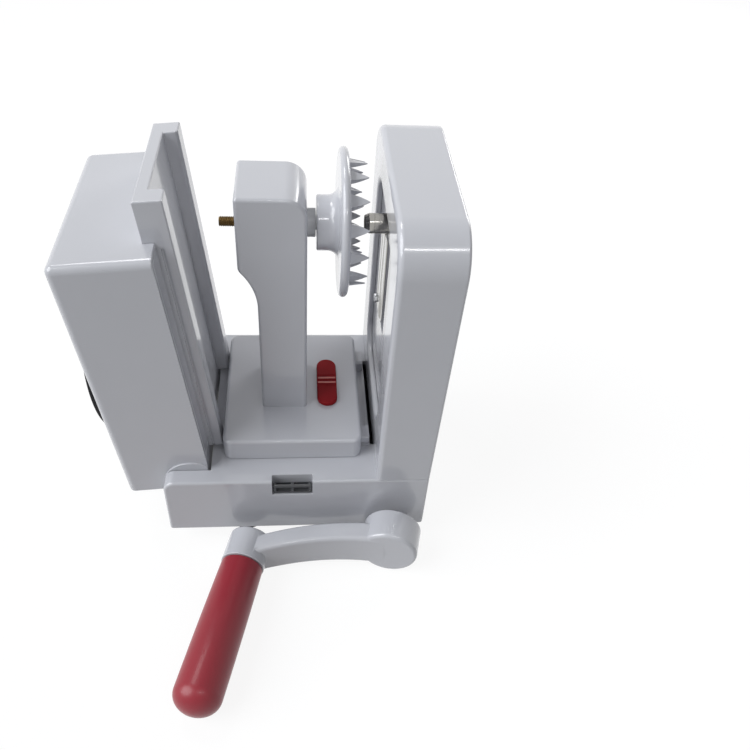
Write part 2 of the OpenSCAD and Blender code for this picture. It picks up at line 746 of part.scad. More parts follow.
module spiked_disc() color(white) {
    at_axis(hub_x) difference() {
        rotate_extrude() disc_profile();
        translate([0, 0, -over]) cylinder(h = hub_len - rod_stop + over, r = rod_r + fit);
        translate([0, 0, hub_len - tube_pocket])
            cylinder(h = disc_t + tube_pocket + over, r = tube_r + tube_room);
    }
    at_deck() translate([spike_x, 0, axis_h]) {
        spike_ring(spike_count, disc_r - spike_inset, spike_len, spike_w);
        spike_ring(floor(spike_count / 2), inner_ring_r, spike_len - inner_less, spike_w - inner_less);
    }
}

// Blade housing: a shell and its cover with round upper corners, the cover's outer face leaning outwards
module house_outline(d) {
    flat = half_depth - house_corner;
    translate([-half_depth + d, d]) square([base_depth - 2 * d, house_h - house_corner - d]);
    translate([-flat, d]) square([2 * flat, house_h - 2 * d]);
    for (y = [-flat, flat]) translate([y, house_h - house_corner]) circle(house_corner - d);
}
module opening(d) {
    round_plate([-opening_half - d, opening_low - d], [opening_half + d, opening_high + d], opening_corner);
}
module window() { round_plate([-window_half, window_low], [window_half, window_high], opening_corner); }
// All that lies past the leaning outer face, or past a face this far inside it
module past_face(d) {
    translate([base_len - d, -half_depth - over, 0]) rotate([0, house_draft, 0]) translate([0, 0, -half_depth])
        cube([base_depth, base_depth + 2 * over, house_h + base_depth]);
}
// One half of the housing: walls, the tunnel round the opening and the screw bosses
module house_half(x0, x1, hollow_x0, hollow_x1, screw_x) {
    difference() {
        along_x(x0, x1) house_outline(0);
        difference() {
            along_x(hollow_x0, hollow_x1) house_outline(wall);
            past_face(wall);
        }
    }
    intersection() {
        along_x(x0 + touch, x1 - touch) opening(wall);
        along_x(x0, x1) house_outline(touch);
    }
    for (y = [-1, 1]) translate([screw_x, y * house_screw_y, wall - touch])
        cylinder(h = boss_h - wall, r = screw_boss_r);
    for (p = cover_screw_places) translate([0, p[0], p[1]]) along_x_rod(x0 + touch, x1 - touch, screw_boss_r);
}
module house_screw_holes() {
    for (p = house_screw_places) translate([p[0], p[1], 0]) screw_hole(thread_grip + thread_room);
    for (p = cover_screw_places) translate([0, p[0], p[1]]) {
        along_x_rod(cover_screw_x - thread_room, house_far, screw_r + fit);
        along_x_rod(base_len - head_h, house_far + over, head_r + seat);
    }
}
module housing_shell() color(white) at_deck() difference() {
    house_half(house_x, house_part, house_x + face_t, house_part + over, house_screw_x[0]);
    along_x(seat_x, house_part + over) opening(0);
    along_x(house_x - over, seat_x + over) window();
    house_screw_holes();
}
module housing_cover() color(white) at_deck() difference() {
    house_half(house_part, house_far, house_part - over, house_far + over, house_screw_x[1]);
    along_x(house_part - over, house_far + over) opening(0);
    house_screw_holes();
    past_face(0);
}
module housing_screws() color(steel) at_deck() for (p = house_screw_places)
    translate([p[0], p[1], -deck_t]) screw(deck_t + thread_grip);
module housing_cover_screws() color(steel) at_deck() for (p = cover_screw_places)
    translate([base_len - head_h, p[0], p[1]]) rotate([0, -90, 0]) screw(base_len - head_h - cover_screw_x);

// Blade insert: a plate in the housing's seat with two pull tabs, a throat beside the blade and the core tube
module blade_frame() color(white) at_deck() difference() {
    union() {
        along_x(blade_x0, blade_x1) opening(-gap);
        translate([0, 0, axis_h]) along_x_rod(blade_x0, blade_x1 + tube_hold, tube_r + tube_boss);
        both_sides() translate([blade_x1 - touch, opening_half - tab_inset - tab_t / 2, axis_h - tab_drop])
            cube([house_part - blade_x1 + tab_inset, tab_t, tab_len]);
    }
    translate([0, 0, axis_h]) along_x_rod(blade_x0 - over, blade_x1 + tube_hold + over, tube_r + fit);
    along_x(blade_x0 - over, blade_x1 + over) round_plate([throat_y - throat_w / 2, blade_low],
        [throat_y + throat_w / 2, blade_top - blade_slant], throat_corner);
    for (z = blade_screw_z) translate([0, blade_screw_y, z])
        along_x_rod(blade_x0 - over, blade_x1 + over, screw_r + fit);
}
module blade() color(steel) at_deck() difference() {
    edge_y = blade_back - blade_w;
    along_x(blade_x0 - blade_t, blade_x0) polygon([
        [edge_y, blade_low + over + blade_slant], [blade_back, blade_low + over],
        [blade_back, blade_top - blade_slant], [edge_y, blade_top - 2 * blade_slant]]);
    for (z = blade_screw_z) translate([0, blade_screw_y, z])
        along_x_rod(blade_x0 - 2 * blade_t, blade_x0 + over, screw_r + fit);
}
module blade_screws() color(steel) at_deck() for (z = blade_screw_z)
    translate([blade_x0 - blade_t, blade_screw_y, z]) rotate([0, 90, 0]) screw(blade_frame_t);
module core_tube() color(steel) at_axis(house_x - tube_reach) difference() {
    tube_len = blade_x1 + tube_hold - house_x + tube_reach;
    rotate_extrude() polygon([
        [0, 0], [tube_r - tube_nose / 2, 0], [tube_r, tube_nose], [tube_r, tube_len], [0, tube_len]]);
    translate([0, 0, -over]) cylinder(h = tube_len + 2 * over, r = tube_r - tube_wall);
}

// Crank: swept arm with the hub at one end and the grip's boss at the other
function arm_front(t) = crank_hub_len + arm_sweep * t * t;
module arm_plan() polygon(concat(
    [for (i = [0 : arm_steps]) let (t = i / arm_steps) [-crank_len * t, -arm_front(t)]],
    [for (i = [arm_steps : -1 : 0]) let (t = i / arm_steps) [-crank_len * t, arm_t - arm_front(t)]]));
module arm_face() {
    polygon([[0, -arm_half_hub], [0, arm_half_hub],
             [-crank_len, arm_half_grip], [-crank_len, -arm_half_grip]]);
    translate([-crank_len, 0]) circle(arm_half_grip);
}
module crank_arm() color(white) at_crank() difference() {
    union() {
        along_y(-crank_hub_len, 0, crank_hub_r);
        translate([-crank_len, 0, 0]) along_y(-grip_start, boss_len - grip_start, grip_boss_r);
        intersection() {
            translate([0, 0, -crank_hub_r]) linear_extrude(2 * crank_hub_r) arm_plan();
            rotate([90, 0, 0]) linear_extrude(grip_start + over) arm_face();
        }
    }
    along_y(-insert_len, over, insert_r + fit);
    translate([-crank_len, 0, 0])
        along_y(-grip_start - over, boss_len - boss_cap - grip_start, grip_pin_r + fit);
}
module crank_insert() color(brass) at_crank() difference() {
    along_y(pin_end - insert_len, 0, insert_r);
    along_y(-insert_len - over, over, stud_r + fit);
}
module grip_pin() color(steel) at_crank() translate([-crank_len, 0, 0])
    along_y(over - grip_start - grip_hold, boss_len - boss_cap - pin_end - grip_start, grip_pin_r);
module grip_profile() polygon(concat(
    [[0, 0], [grip_r - grip_taper - grip_lip, 0]],
    [for (i = [0 : 8]) let (t = i / 8)
        [grip_r - grip_taper * pow(1 - t, 2), grip_lip + t * (grip_len - grip_lip - grip_dome)]],
    [for (i = [1 : 8]) let (a = i * 90 / 8) [grip_r * cos(a), grip_len - grip_dome * (1 - sin(a))]]));
module crank_grip() color(red) at_crank()
    translate([-crank_len, -grip_start - gap, 0]) rotate([90, 0, 0]) difference() {
        rotate_extrude() grip_profile();
        translate([0, 0, -over]) cylinder(h = grip_hold + over, r = grip_pin_r + fit);
    }

base_shell();
base_bottom_cover();
base_feet();
base_screws();
deck_rails();
deck_rail_screws();
hinge_pins();
front_catch();
track_box();
track_panel();
rail_frame();
rail_frame_screws();
suction_ring();
suction_pad();
carriage_cover();
carriage_sled();
carriage_screws();
lock_slider();
lock_tongue();
column_front();
column_rear();
column_screws();
column_foot_screws();
bush_left();
bush_right();
spindle_rod();
crank_stud();
spindle_clip();
spiked_disc();
housing_shell();
housing_cover();
housing_screws();
housing_cover_screws();
blade_frame();
blade();
core_tube();
blade_screws();
crank_arm();
crank_insert();
grip_pin();
crank_grip();
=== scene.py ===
import json
import math

import bpy
from mathutils import Matrix, Vector

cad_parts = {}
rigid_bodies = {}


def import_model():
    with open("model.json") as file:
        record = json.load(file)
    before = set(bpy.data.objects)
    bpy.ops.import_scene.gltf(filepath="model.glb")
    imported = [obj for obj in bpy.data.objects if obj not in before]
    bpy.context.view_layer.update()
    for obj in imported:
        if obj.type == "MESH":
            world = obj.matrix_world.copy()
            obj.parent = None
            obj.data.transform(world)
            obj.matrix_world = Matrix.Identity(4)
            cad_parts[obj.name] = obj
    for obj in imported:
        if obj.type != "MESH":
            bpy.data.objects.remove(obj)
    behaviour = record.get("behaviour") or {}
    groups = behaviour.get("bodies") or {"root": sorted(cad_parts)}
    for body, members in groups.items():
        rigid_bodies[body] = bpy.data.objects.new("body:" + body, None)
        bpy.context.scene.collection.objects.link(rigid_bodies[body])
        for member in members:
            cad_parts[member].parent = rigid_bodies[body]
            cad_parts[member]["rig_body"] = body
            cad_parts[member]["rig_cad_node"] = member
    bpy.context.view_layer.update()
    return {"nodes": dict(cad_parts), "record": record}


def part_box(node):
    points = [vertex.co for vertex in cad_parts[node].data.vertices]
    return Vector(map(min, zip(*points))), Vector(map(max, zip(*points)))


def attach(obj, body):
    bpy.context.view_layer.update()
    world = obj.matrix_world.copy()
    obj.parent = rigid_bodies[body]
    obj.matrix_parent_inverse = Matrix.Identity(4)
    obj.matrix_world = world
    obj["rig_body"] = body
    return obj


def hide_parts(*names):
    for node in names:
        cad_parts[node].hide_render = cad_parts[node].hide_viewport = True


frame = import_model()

MM = 0.001

# Edges flatter than this are shaded smooth
SMOOTH_ANGLE = math.radians(32)

# Faces of a copied CAD mesh that turn by less than this are joined
FLAT_ANGLE = math.radians(0.5)

# Points nearer to each other than this, in metres, become one
MERGE = 0.000002

# Camera of the photograph, in metres in the part's frame
CAMERA_PLACE = Vector((0.00068, -0.37452, 0.44107))
CAMERA_YAW = math.radians(-7.726)
CAMERA_PITCH = math.radians(43.56)
CAMERA_ROLL = math.radians(5.035)
CAMERA_LENS = 37.48


# Material nodes

class Nodes:
    """Node tree of one material, with short calls for the nodes that it is made of."""

    def __init__(self, name):
        self.material = bpy.data.materials.new(name)
        self.material.use_nodes = True
        self.tree = self.material.node_tree
        self.shader = self.tree.nodes["Principled BSDF"]
        self.coords = self.tree.nodes.new("ShaderNodeTexCoord").outputs["Object"]

    def link(self, source, target):
        """Joins an output to an input."""
        self.tree.links.new(source, target)

    def stretched(self, scale):
        """Object coordinates, stretched along the axes."""
        mapping = self.tree.nodes.new("ShaderNodeMapping")
        mapping.inputs["Scale"].default_value = scale
        self.link(self.coords, mapping.inputs["Vector"])
        return mapping.outputs["Vector"]

    def noise(self, scale, detail=3.0, vector=None):
        """Soft random pattern that stays with the object."""
        node = self.tree.nodes.new("ShaderNodeTexNoise")
        node.inputs["Scale"].default_value = scale
        node.inputs["Detail"].default_value = detail
        self.link(vector or self.coords, node.inputs["Vector"])
        return node.outputs["Fac"]

    def ramp(self, value, low, high, start=0.3, end=0.7):
        """Colour or grey between low and high as the value goes from start to end."""
        node = self.tree.nodes.new("ShaderNodeValToRGB")
        for element, place, colour in zip(node.color_ramp.elements, (start, end), (low, high)):
            element.position = place
            element.color = (*colour, 1) if isinstance(colour, tuple) else (colour, colour, colour, 1)
        self.link(value, node.inputs["Fac"])
        return node.outputs["Color"]

    def bump(self, height, strength, distance=0.0001):
        """Fine relief of the surface."""
        node = self.tree.nodes.new("ShaderNodeBump")
        node.inputs["Strength"].default_value = strength
        node.inputs["Distance"].default_value = distance
        self.link(height, node.inputs["Height"])
        self.link(node.outputs["Normal"], self.shader.inputs["Normal"])

    def paint(self, socket, colours):
        """Lets a pattern drive one of the shader's values."""
        self.link(colours, self.shader.inputs[socket])

    def set(self, **values):
        """Plain values of the shader."""
        for name, value in values.items():
            self.shader.inputs[name.replace("_", " ")].default_value = value


def shade(colour, factor):
    """The colour made lighter or darker."""
    return tuple(min(1.0, c * factor) for c in colour)


def moulded(name, colour, rough, grain=900.0, depth=0.012, spread=0.03, coat=0.0, gloss=0.5):
    """Moulded plastic: faint clouds in the colour, an uneven gloss and a fine skin."""
    clouds, patches, coat_rough, ior = 24.0, 60.0, 0.06, 1.49
    n = Nodes(name)
    pale, dark = shade(colour, 1 + spread), shade(colour, 1 - spread)
    n.paint("Base Color", n.ramp(n.noise(clouds, detail=2.0), dark, pale))
    n.paint("Roughness", n.ramp(n.noise(patches), rough - 0.02, rough + 0.03))
    n.bump(n.noise(grain, detail=2.0), depth)
    n.set(Coat_Weight=coat, Coat_Roughness=coat_rough, IOR=ior, Specular_IOR_Level=gloss)
    return n.material


def brushed(name, colour, rough, stretch, depth=0.08, lines=2200.0):
    """Metal with fine lines along one axis."""
    n = Nodes(name)
    streaks = n.noise(lines, vector=n.stretched(stretch))
    n.paint("Base Color", n.ramp(streaks, shade(colour, 0.86), shade(colour, 1.06)))
    n.paint("Roughness", n.ramp(streaks, rough - 0.06, rough + 0.1))
    n.bump(streaks, depth)
    n.set(Metallic=1.0)
    return n.material


def ground(name, dark, bright, rough):
    """Ground steel: long uneven streaks along the blade, dark and bright, partly grinding marks and partly
    painted reflections.
    """
    n = Nodes(name)
    streaks = n.noise(scale=190.0, detail=2.0, vector=n.stretched((1, 1, 0.09)))
    fine = n.noise(scale=1500.0, vector=n.stretched((0.2, 1, 0.02)))
    # The wide dark and bright streaks in the colour are painted reflections as well as grinding marks
    n.paint("Base Color", n.ramp(streaks, dark, bright, start=0.42, end=0.6))
    n.paint("Roughness", n.ramp(fine, rough - 0.05, rough + 0.08))
    n.bump(fine, strength=0.1)
    n.set(Metallic=1.0)
    return n.material


WHITE = moulded("white_plastic", (0.547, 0.554, 0.592), rough=0.2, spread=0.006, coat=0.6)
GREY = moulded("grey_plastic", (0.72, 0.73, 0.75), rough=0.4)
DARK = moulded("dark_plastic", (0.045, 0.047, 0.052), rough=0.26, spread=0.08, coat=0.3)
RED = moulded("red_plastic", (0.3, 0.012, 0.026), rough=0.36, spread=0.06, coat=0.1)
DARK_RED = moulded("dark_red_plastic", (0.27, 0.012, 0.016), rough=0.5, spread=0.08, gloss=0.12)
# Pale red for the tops of the slider's ribs: a painted highlight
RED_PAINTED_HIGHLIGHT = moulded("red_plastic_painted_highlight", (0.62, 0.17, 0.15), rough=0.3, spread=0.1)
RUBBER = moulded("black_rubber", (0.018, 0.018, 0.02), rough=0.68, grain=2600.0, depth=0.25, spread=0.15)
STEEL = brushed("steel", (0.66, 0.67, 0.69), rough=0.3, stretch=(1, 0.06, 0.06))
TUBE = brushed("polished_tube", (0.36, 0.35, 0.33), rough=0.13, stretch=(1, 0.02, 0.02), depth=0.02)
BRASS = brushed("brass", (0.22, 0.145, 0.058), rough=0.34, stretch=(1, 0.1, 0.1), depth=0.05)
# Blade steel whose dark and bright streaks are grinding marks and painted reflections
GROUND_WITH_REFLECTIONS = ground("ground_blade_painted_reflections", (0.13, 0.12, 0.1), (0.66, 0.66, 0.65), rough=0.2)

MATERIALS = {"white_plastic": WHITE, "grey_plastic": GREY, "dark_plastic": DARK, "red_plastic": RED,
             "black_rubber": RUBBER, "steel": STEEL, "polished_tube": TUBE, "brass": BRASS}


# Modelling steps

def only(obj):
    """Object mode with this object alone selected."""
    if bpy.context.object and bpy.context.object.mode != "OBJECT":
        bpy.ops.object.mode_set(mode="OBJECT")
    bpy.ops.object.select_all(action="DESELECT")
    obj.select_set(True)
    bpy.context.view_layer.objects.active = obj


def apply(obj, kind, **settings):
    """Adds a modifier with these settings and applies it."""
    only(obj)
    modifier = obj.modifiers.new(kind.lower(), kind)
    for name, value in settings.items():
        setattr(modifier, name, value)
    bpy.ops.object.modifier_apply(modifier=modifier.name)


def soften(obj, width, segments=3, angle=35):
    """Rounds every edge that is sharper than the angle, by a width in mm."""
    apply(obj, "BEVEL", width=width * MM, segments=segments, limit_method="ANGLE",
          angle_limit=math.radians(angle), use_clamp_overlap=True)


def round_edges(obj, test, width, segments=4):
    """Rounds the edges whose two ends, in mm, pass the test."""
    only(obj)
    bpy.ops.object.mode_set(mode="EDIT")
    bpy.ops.mesh.select_mode(type="EDGE")
    bpy.ops.mesh.select_all(action="DESELECT")
    bpy.ops.object.mode_set(mode="OBJECT")
    points = [v.co / MM for v in obj.data.vertices]
    for edge in obj.data.edges:
        edge.select = test(*(points[i] for i in edge.vertices))
    bpy.ops.object.mode_set(mode="EDIT")
    bpy.ops.mesh.bevel(offset=width * MM, segments=segments, affect="EDGES", clamp_overlap=True)
    bpy.ops.object.mode_set(mode="OBJECT")


def same(*values):
    """Whether these places agree to a hundredth of a millimetre."""
    return max(values) - min(values) < 0.01


def cut(obj, tool):
    """Takes the tool's shape out of the object and removes the tool."""
    apply(obj, "BOOLEAN", operation="DIFFERENCE", solver="EXACT", object=tool)
    bpy.data.objects.remove(tool)


def fuse(obj, tool):
    """Adds the tool's shape to the object and removes the tool."""
    apply(obj, "BOOLEAN", operation="UNION", solver="EXACT", object=tool)
    bpy.data.objects.remove(tool)


def join(obj, others):
    """One object with the meshes of all of them."""
    only(obj)
    for other in others:
        other.select_set(True)
    bpy.ops.object.join()
    return obj


def moved(obj, matrix):
    """Copy with a mesh of its own, moved by a matrix in metres."""
    new = obj.copy()
    new.data = obj.data.copy()
    new.data.transform(matrix)
    bpy.context.scene.collection.objects.link(new)
    return new


def arc(centre, radius, start, end, steps):
    """Points on a circle between two angles in degrees."""
    turns = [math.radians(start + (end - start) * i / steps) for i in range(steps + 1)]
    return [(centre[0] + radius * math.cos(t), centre[1] + radius * math.sin(t)) for t in turns]


def rounded(low, high, radius, steps=10):
    """Outline of a rectangle with round corners."""
    left, right = low[0] + radius, high[0] - radius
    near, far = low[1] + radius, high[1] - radius
    return (arc((right, near), radius, -90, 0, steps) + arc((right, far), radius, 0, 90, steps)
            + arc((left, far), radius, 90, 180, steps) + arc((left, near), radius, 180, 270, steps))


ACROSS = {"x": (1, 2, 0), "y": (0, 2, 1), "z": (0, 1, 2)}
HERE = Matrix.Identity(4)


def plate(name, outline, axis, start, end, place=HERE):
    """Solid between two places on an axis, from an outline in the other two axes, in mm."""
    a, b, c = ACROSS[axis]
    bpy.ops.object.select_all(action="DESELECT")
    bpy.ops.mesh.primitive_circle_add(vertices=len(outline), fill_type="NGON")
    obj = bpy.context.object
    obj.name = name
    for vertex, point in zip(obj.data.vertices, outline):
        vertex.co[a], vertex.co[b], vertex.co[c] = point[0] * MM, point[1] * MM, start * MM
    way = [0.0, 0.0, 0.0]
    way[c] = (end - start) * MM
    bpy.ops.object.mode_set(mode="EDIT")
    bpy.ops.mesh.select_all(action="SELECT")
    bpy.ops.mesh.extrude_region_move(TRANSFORM_OT_translate={"value": way})
    bpy.ops.mesh.select_all(action="SELECT")
    bpy.ops.mesh.normals_make_consistent(inside=False)
    bpy.ops.object.mode_set(mode="OBJECT")
    obj.data.transform(place)
    return obj


def block(name, low, high, place=HERE):
    """Box between two corners, in mm."""
    outline = [(low[0], low[1]), (high[0], low[1]), (high[0], high[1]), (low[0], high[1])]
    return plate(name, outline, "z", low[2], high[2], place)


def turned(name, profile, place, steps=64):
    """Solid of revolution about the place's z axis, from a closed profile of radius and height in mm."""
    bpy.ops.object.select_all(action="DESELECT")
    bpy.ops.mesh.primitive_circle_add(vertices=len(profile), fill_type="NOTHING")
    obj = bpy.context.object
    obj.name = name
    for vertex, (radius, height) in zip(obj.data.vertices, profile):
        vertex.co = Vector((radius, 0, height)) * MM
    bpy.ops.object.mode_set(mode="EDIT")
    bpy.ops.mesh.select_all(action="SELECT")
    bpy.ops.mesh.spin(steps=steps, angle=2 * math.pi, center=(0, 0, 0), axis=(0, 0, 1))
    bpy.ops.mesh.select_all(action="SELECT")
    bpy.ops.mesh.remove_doubles(threshold=MERGE)
    bpy.ops.mesh.normals_make_consistent(inside=False)
    bpy.ops.object.mode_set(mode="OBJECT")
    obj.data.transform(place)
    return obj


def pointing(origin, axis):
    """Matrix that puts the local z axis along a direction, at a place in mm."""
    turn = Vector((0, 0, 1)).rotation_difference(Vector(axis))
    return Matrix.Translation(Vector(origin) * MM) @ turn.to_matrix().to_4x4()


def rod(name, radius, length, place, steps=40):
    """Round bar along the place's z axis, in mm."""
    return turned(name, [(0, 0), (radius, 0), (radius, length), (0, length)], place, steps)


def along_x(x, y, z):
    """Place in mm whose local z axis runs along x."""
    return pointing((x, y, z), (1, 0, 0))


BODY_OF = {node: body for body, nodes in frame["record"]["behaviour"]["bodies"].items() for node in nodes}
SLOT_OF = {row["node"]: row["material_slot"] for row in frame["record"]["subparts"]}


def finished(obj, node, material=None):
    """Smooth shading, the material of the node's slot unless another is given, and the body of the piece
    that stands for a CAD node.
    """
    only(obj)
    bpy.ops.object.shade_smooth_by_angle(angle=SMOOTH_ANGLE)
    apply(obj, "WEIGHTED_NORMAL", keep_sharp=True)
    obj.data.materials.clear()
    obj.data.materials.append(material or MATERIALS[SLOT_OF[node]])
    obj.name = node + "_look"
    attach(obj, BODY_OF[node])
    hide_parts(node)


def copied(node):
    """The CAD node's mesh as an object of its own, merged and with its flat faces joined."""
    only(frame["nodes"][node])
    bpy.ops.object.duplicate()
    obj = bpy.context.object
    obj.parent = None
    obj.matrix_world = HERE
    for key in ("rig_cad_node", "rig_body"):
        if key in obj:
            del obj[key]
    only(obj)
    bpy.ops.object.mode_set(mode="EDIT")
    bpy.ops.mesh.select_all(action="SELECT")
    bpy.ops.mesh.remove_doubles(threshold=MERGE)
    bpy.ops.mesh.dissolve_limited(angle_limit=FLAT_ANGLE)
    bpy.ops.object.mode_set(mode="OBJECT")
    return obj


# Places in the frame, in mm

def span(node):
    """Lowest and highest corner of a CAD node."""
    low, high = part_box(node)
    return low / MM, high / MM


JOINTS = {joint["name"]: joint for joint in frame["record"]["behaviour"]["joints"]}
BASE_LOW, BASE_HIGH = span("base_shell")
LEFT, RIGHT, DECK, HALF = BASE_LOW.x, BASE_HIGH.x, BASE_HIGH.z, BASE_HIGH.y
SPIN = Vector(JOINTS["spindle_spin"]["pos_m"]) / MM
HINGE = Vector(JOINTS["track_fold"]["pos_m"]) / MM
LEAN = math.radians(90 - JOINTS["track_fold"]["range_deg"][1])
TRACK = Matrix.Translation(HINGE * MM) @ Matrix.Rotation(-LEAN, 4, "Y")
SCREW_SEAT_R = 3.15
CHEEK_T, TRACK_T, TRACK_HALF, TRACK_FACE = 10.5, 53.0, 58.0, 11.5
RAIL_HALF, RAIL_W = 41.3, 12.0
RAIL_H = span("deck_rails")[1].z - DECK
RAIL_PLAY = 0.6
GROOVE_LOW, GROOVE_HIGH, GROOVE_DEEP = 2.0, 3.5, 1.2

# How far a cutting shape runs past the face that it opens
PAST = 1.0


# Base

def base_shell():
    """Hollow base with the catch's notch and a gap in the deck along the blade housing."""
    corner, edge, wall, deck_t, sunk = 7, 1.8, 3, 3.5, 0.5
    clevis, bay = LEFT + 28.7, LEFT + 31.7
    gap_w, gap_half, gap_deep, gap_under = 2.2, 40.0, 8.0, 0.5
    cheek = HALF - CHEEK_T
    notch_start, notch_end, notch_in, notch_drop, notch_play = 66.5, 91.5, 6, 12.5, 0.1
    notch_low = Vector((LEFT + notch_start, -HALF, DECK - notch_drop))
    notch_high = Vector((LEFT + notch_end, -HALF + notch_in, DECK))
    side = [(LEFT, BASE_LOW.z), (RIGHT, BASE_LOW.z), (RIGHT, DECK)]
    side += arc((LEFT + corner, DECK - corner), corner, 90, 180, 10)

    def on_clevis(a, b):
        return same(a.z, b.z, DECK) and (same(a.x, b.x, clevis) or same(abs(a.y), abs(b.y), cheek))

    def at_notch(p):
        return all(notch_low[i] - notch_play < p[i] < notch_high[i] + notch_play for i in range(3))

    obj = plate("base", side, "y", -HALF, HALF)
    soften(obj, width=edge, segments=4, angle=60)
    cut(obj, block("clevis", (LEFT - PAST, -cheek, BASE_LOW.z - PAST), (clevis, cheek, DECK + PAST)))
    round_edges(obj, on_clevis, width=0.8, segments=3)
    cut(obj, block("bay", (bay, -HALF + wall, BASE_LOW.z - PAST),
                   (RIGHT - wall, HALF - wall, DECK - deck_t)))
    fuse(obj, block("pocket", (notch_low.x - wall, -HALF + wall - sunk, notch_low.z - wall),
                    (notch_high.x + wall, notch_high.y + wall, DECK - sunk)))
    cut(obj, block("notch", (notch_low.x, notch_low.y - PAST, notch_low.z),
                   (notch_high.x, notch_high.y, DECK + PAST)))
    round_edges(obj, lambda a, b: at_notch(a) and at_notch(b), width=0.45, segments=2)
    house = span("housing_shell")[0].x
    cut(obj, block("gap", (house - gap_w, -gap_half, DECK - gap_deep),
                   (house + gap_under, gap_half, DECK + PAST)))
    finished(obj, "base_shell")


def front_catch():
    """Dark catch: a rounded frame with a bar between its two slots."""
    low, high = span("front_catch")
    rim, near_rim, far_rim, bar, deep = 2.0, 0.9, 0.7, 1.6, 1.6
    middle = (low.x + high.x) / 2
    obj = block("catch", low, high)
    soften(obj, width=0.9, segments=4)
    for left, right in ((low.x + rim, middle - bar / 2), (middle + bar / 2, high.x - rim)):
        outline = rounded((left, low.z + rim), (right, high.z - rim), radius=0.8, steps=4)
        cut(obj, plate("slot", outline, "y", low.y - PAST, low.y + deep))
        outline = rounded((left, low.y + near_rim), (right, high.y - far_rim), radius=0.5, steps=3)
        cut(obj, plate("slot", outline, "z", high.z - deep, high.z + PAST))
    soften(obj, width=0.18, segments=2, angle=50)
    finished(obj, "front_catch")


def rail_profile(low):
    """Section of a rail, as height and y: a small lip on its outer side, a chamfer on its inner side."""
    edge, lip = 1.5, 0.5
    outer, inner = -RAIL_HALF, RAIL_W - RAIL_HALF
    return [(low, outer), (RAIL_H - lip, outer), (RAIL_H, outer + lip), (RAIL_H, inner - edge),
            (RAIL_H - edge, inner)]


def deck_rails():
    """Pair of rails on the deck, each with a groove along its outer side."""
    low, high = span("deck_rails")
    near = [(y, DECK + z) for z, y in rail_profile(0)] + [(RAIL_W - RAIL_HALF, DECK)]
    rails = [plate("rail", [(side * y, z) for y, z in near], "x", low.x, high.x) for side in (1, -1)]
    obj = join(rails[0], rails[1:])
    for start in (-RAIL_HALF - PAST, RAIL_HALF - GROOVE_DEEP):
        cut(obj, block("groove", (low.x - PAST, start, DECK + GROOVE_LOW),
                       (high.x + PAST, start + GROOVE_DEEP + PAST, DECK + GROOVE_HIGH)))
    soften(obj, width=0.25, segments=2)
    finished(obj, "deck_rails")


# Track, modelled upright about its hinge and then leaned

def track_box():
    """Hollow box with round ears at the hinge, screw posts and a seat for the rail frame."""
    outer, inner, half, low, high, swing = TRACK_FACE - TRACK_T, TRACK_FACE, TRACK_HALF, -6.0, 167.0, 11.5
    boss, boss_half, wall, hollow_low, hinge_top = 17.3, TRACK_HALF + 1.1, 3, 19.3, 1
    seat, seat_half, seat_low, seat_past = 5.1, 41.55, 12.75, 9
    post_r, post_root, screw_stop, screw_y, screw_z = 5, 2, -2.9, 35.3, (33, 147)
    tail = math.degrees(math.asin(low / swing))
    side = [(outer, low)] + arc((0, 0), swing, tail, 0, 6) + [(inner, high), (outer, high)]
    start = math.degrees(math.acos(inner / boss))
    end = 180 - math.degrees(math.asin(low / boss))
    ear = arc((0, 0), boss, start, end, 28) + arc((0, 0), swing, tail, 0, 6)

    def is_soft(a, b):
        at_back = same(a.x, b.x, outer) and not same(a.z, b.z, low)
        return at_back or (same(a.z, b.z, high) and not same(a.x, b.x, inner))

    obj = plate("track", side, "y", -half, half)
    round_edges(obj, is_soft, width=4.5, segments=7)
    round_edges(obj, lambda a, b: same(a.x, b.x, inner) and min(a.z, b.z) > hinge_top,
                width=0.8, segments=3)
    ears = plate("ears", ear, "y", -boss_half, boss_half)
    round_edges(ears, lambda a, b: same(abs(a.y), abs(b.y), boss_half) and same(a.y, b.y),
                width=0.5, segments=2)
    fuse(obj, ears)
    cut(obj, block("hollow", (outer + wall, -half + wall, hollow_low),
                   (inner + PAST, half - wall, high - wall)))
    for y in (-screw_y, screw_y):
        for z in screw_z:
            fuse(obj, rod("post", post_r, seat - outer - post_root, along_x(outer + post_root, y, z)))
            cut(obj, rod("seat", SCREW_SEAT_R, screw_stop - outer + PAST, along_x(outer - PAST, y, z)))
    cut(obj, block("seat", (seat, -seat_half, seat_low), (inner + PAST, seat_half, high + seat_past)))
    soften(obj, width=0.3, segments=2, angle=60)
    obj.data.transform(TRACK)
    finished(obj, "track_box")


def track_panel():
    """Two strips that close the box beside the rail frame."""
    thick, inside, outside, low, high = 4, 41.8, TRACK_HALF - 3.25, 19.55, 163.75
    wide = outside - inside
    strips = [block("strip", (TRACK_FACE - thick, start, low), (TRACK_FACE, start + wide, high), TRACK)
              for start in (inside, -outside)]
    obj = join(strips[0], strips[1:])
    soften(obj, width=0.6, segments=3)
    finished(obj, "track_panel")


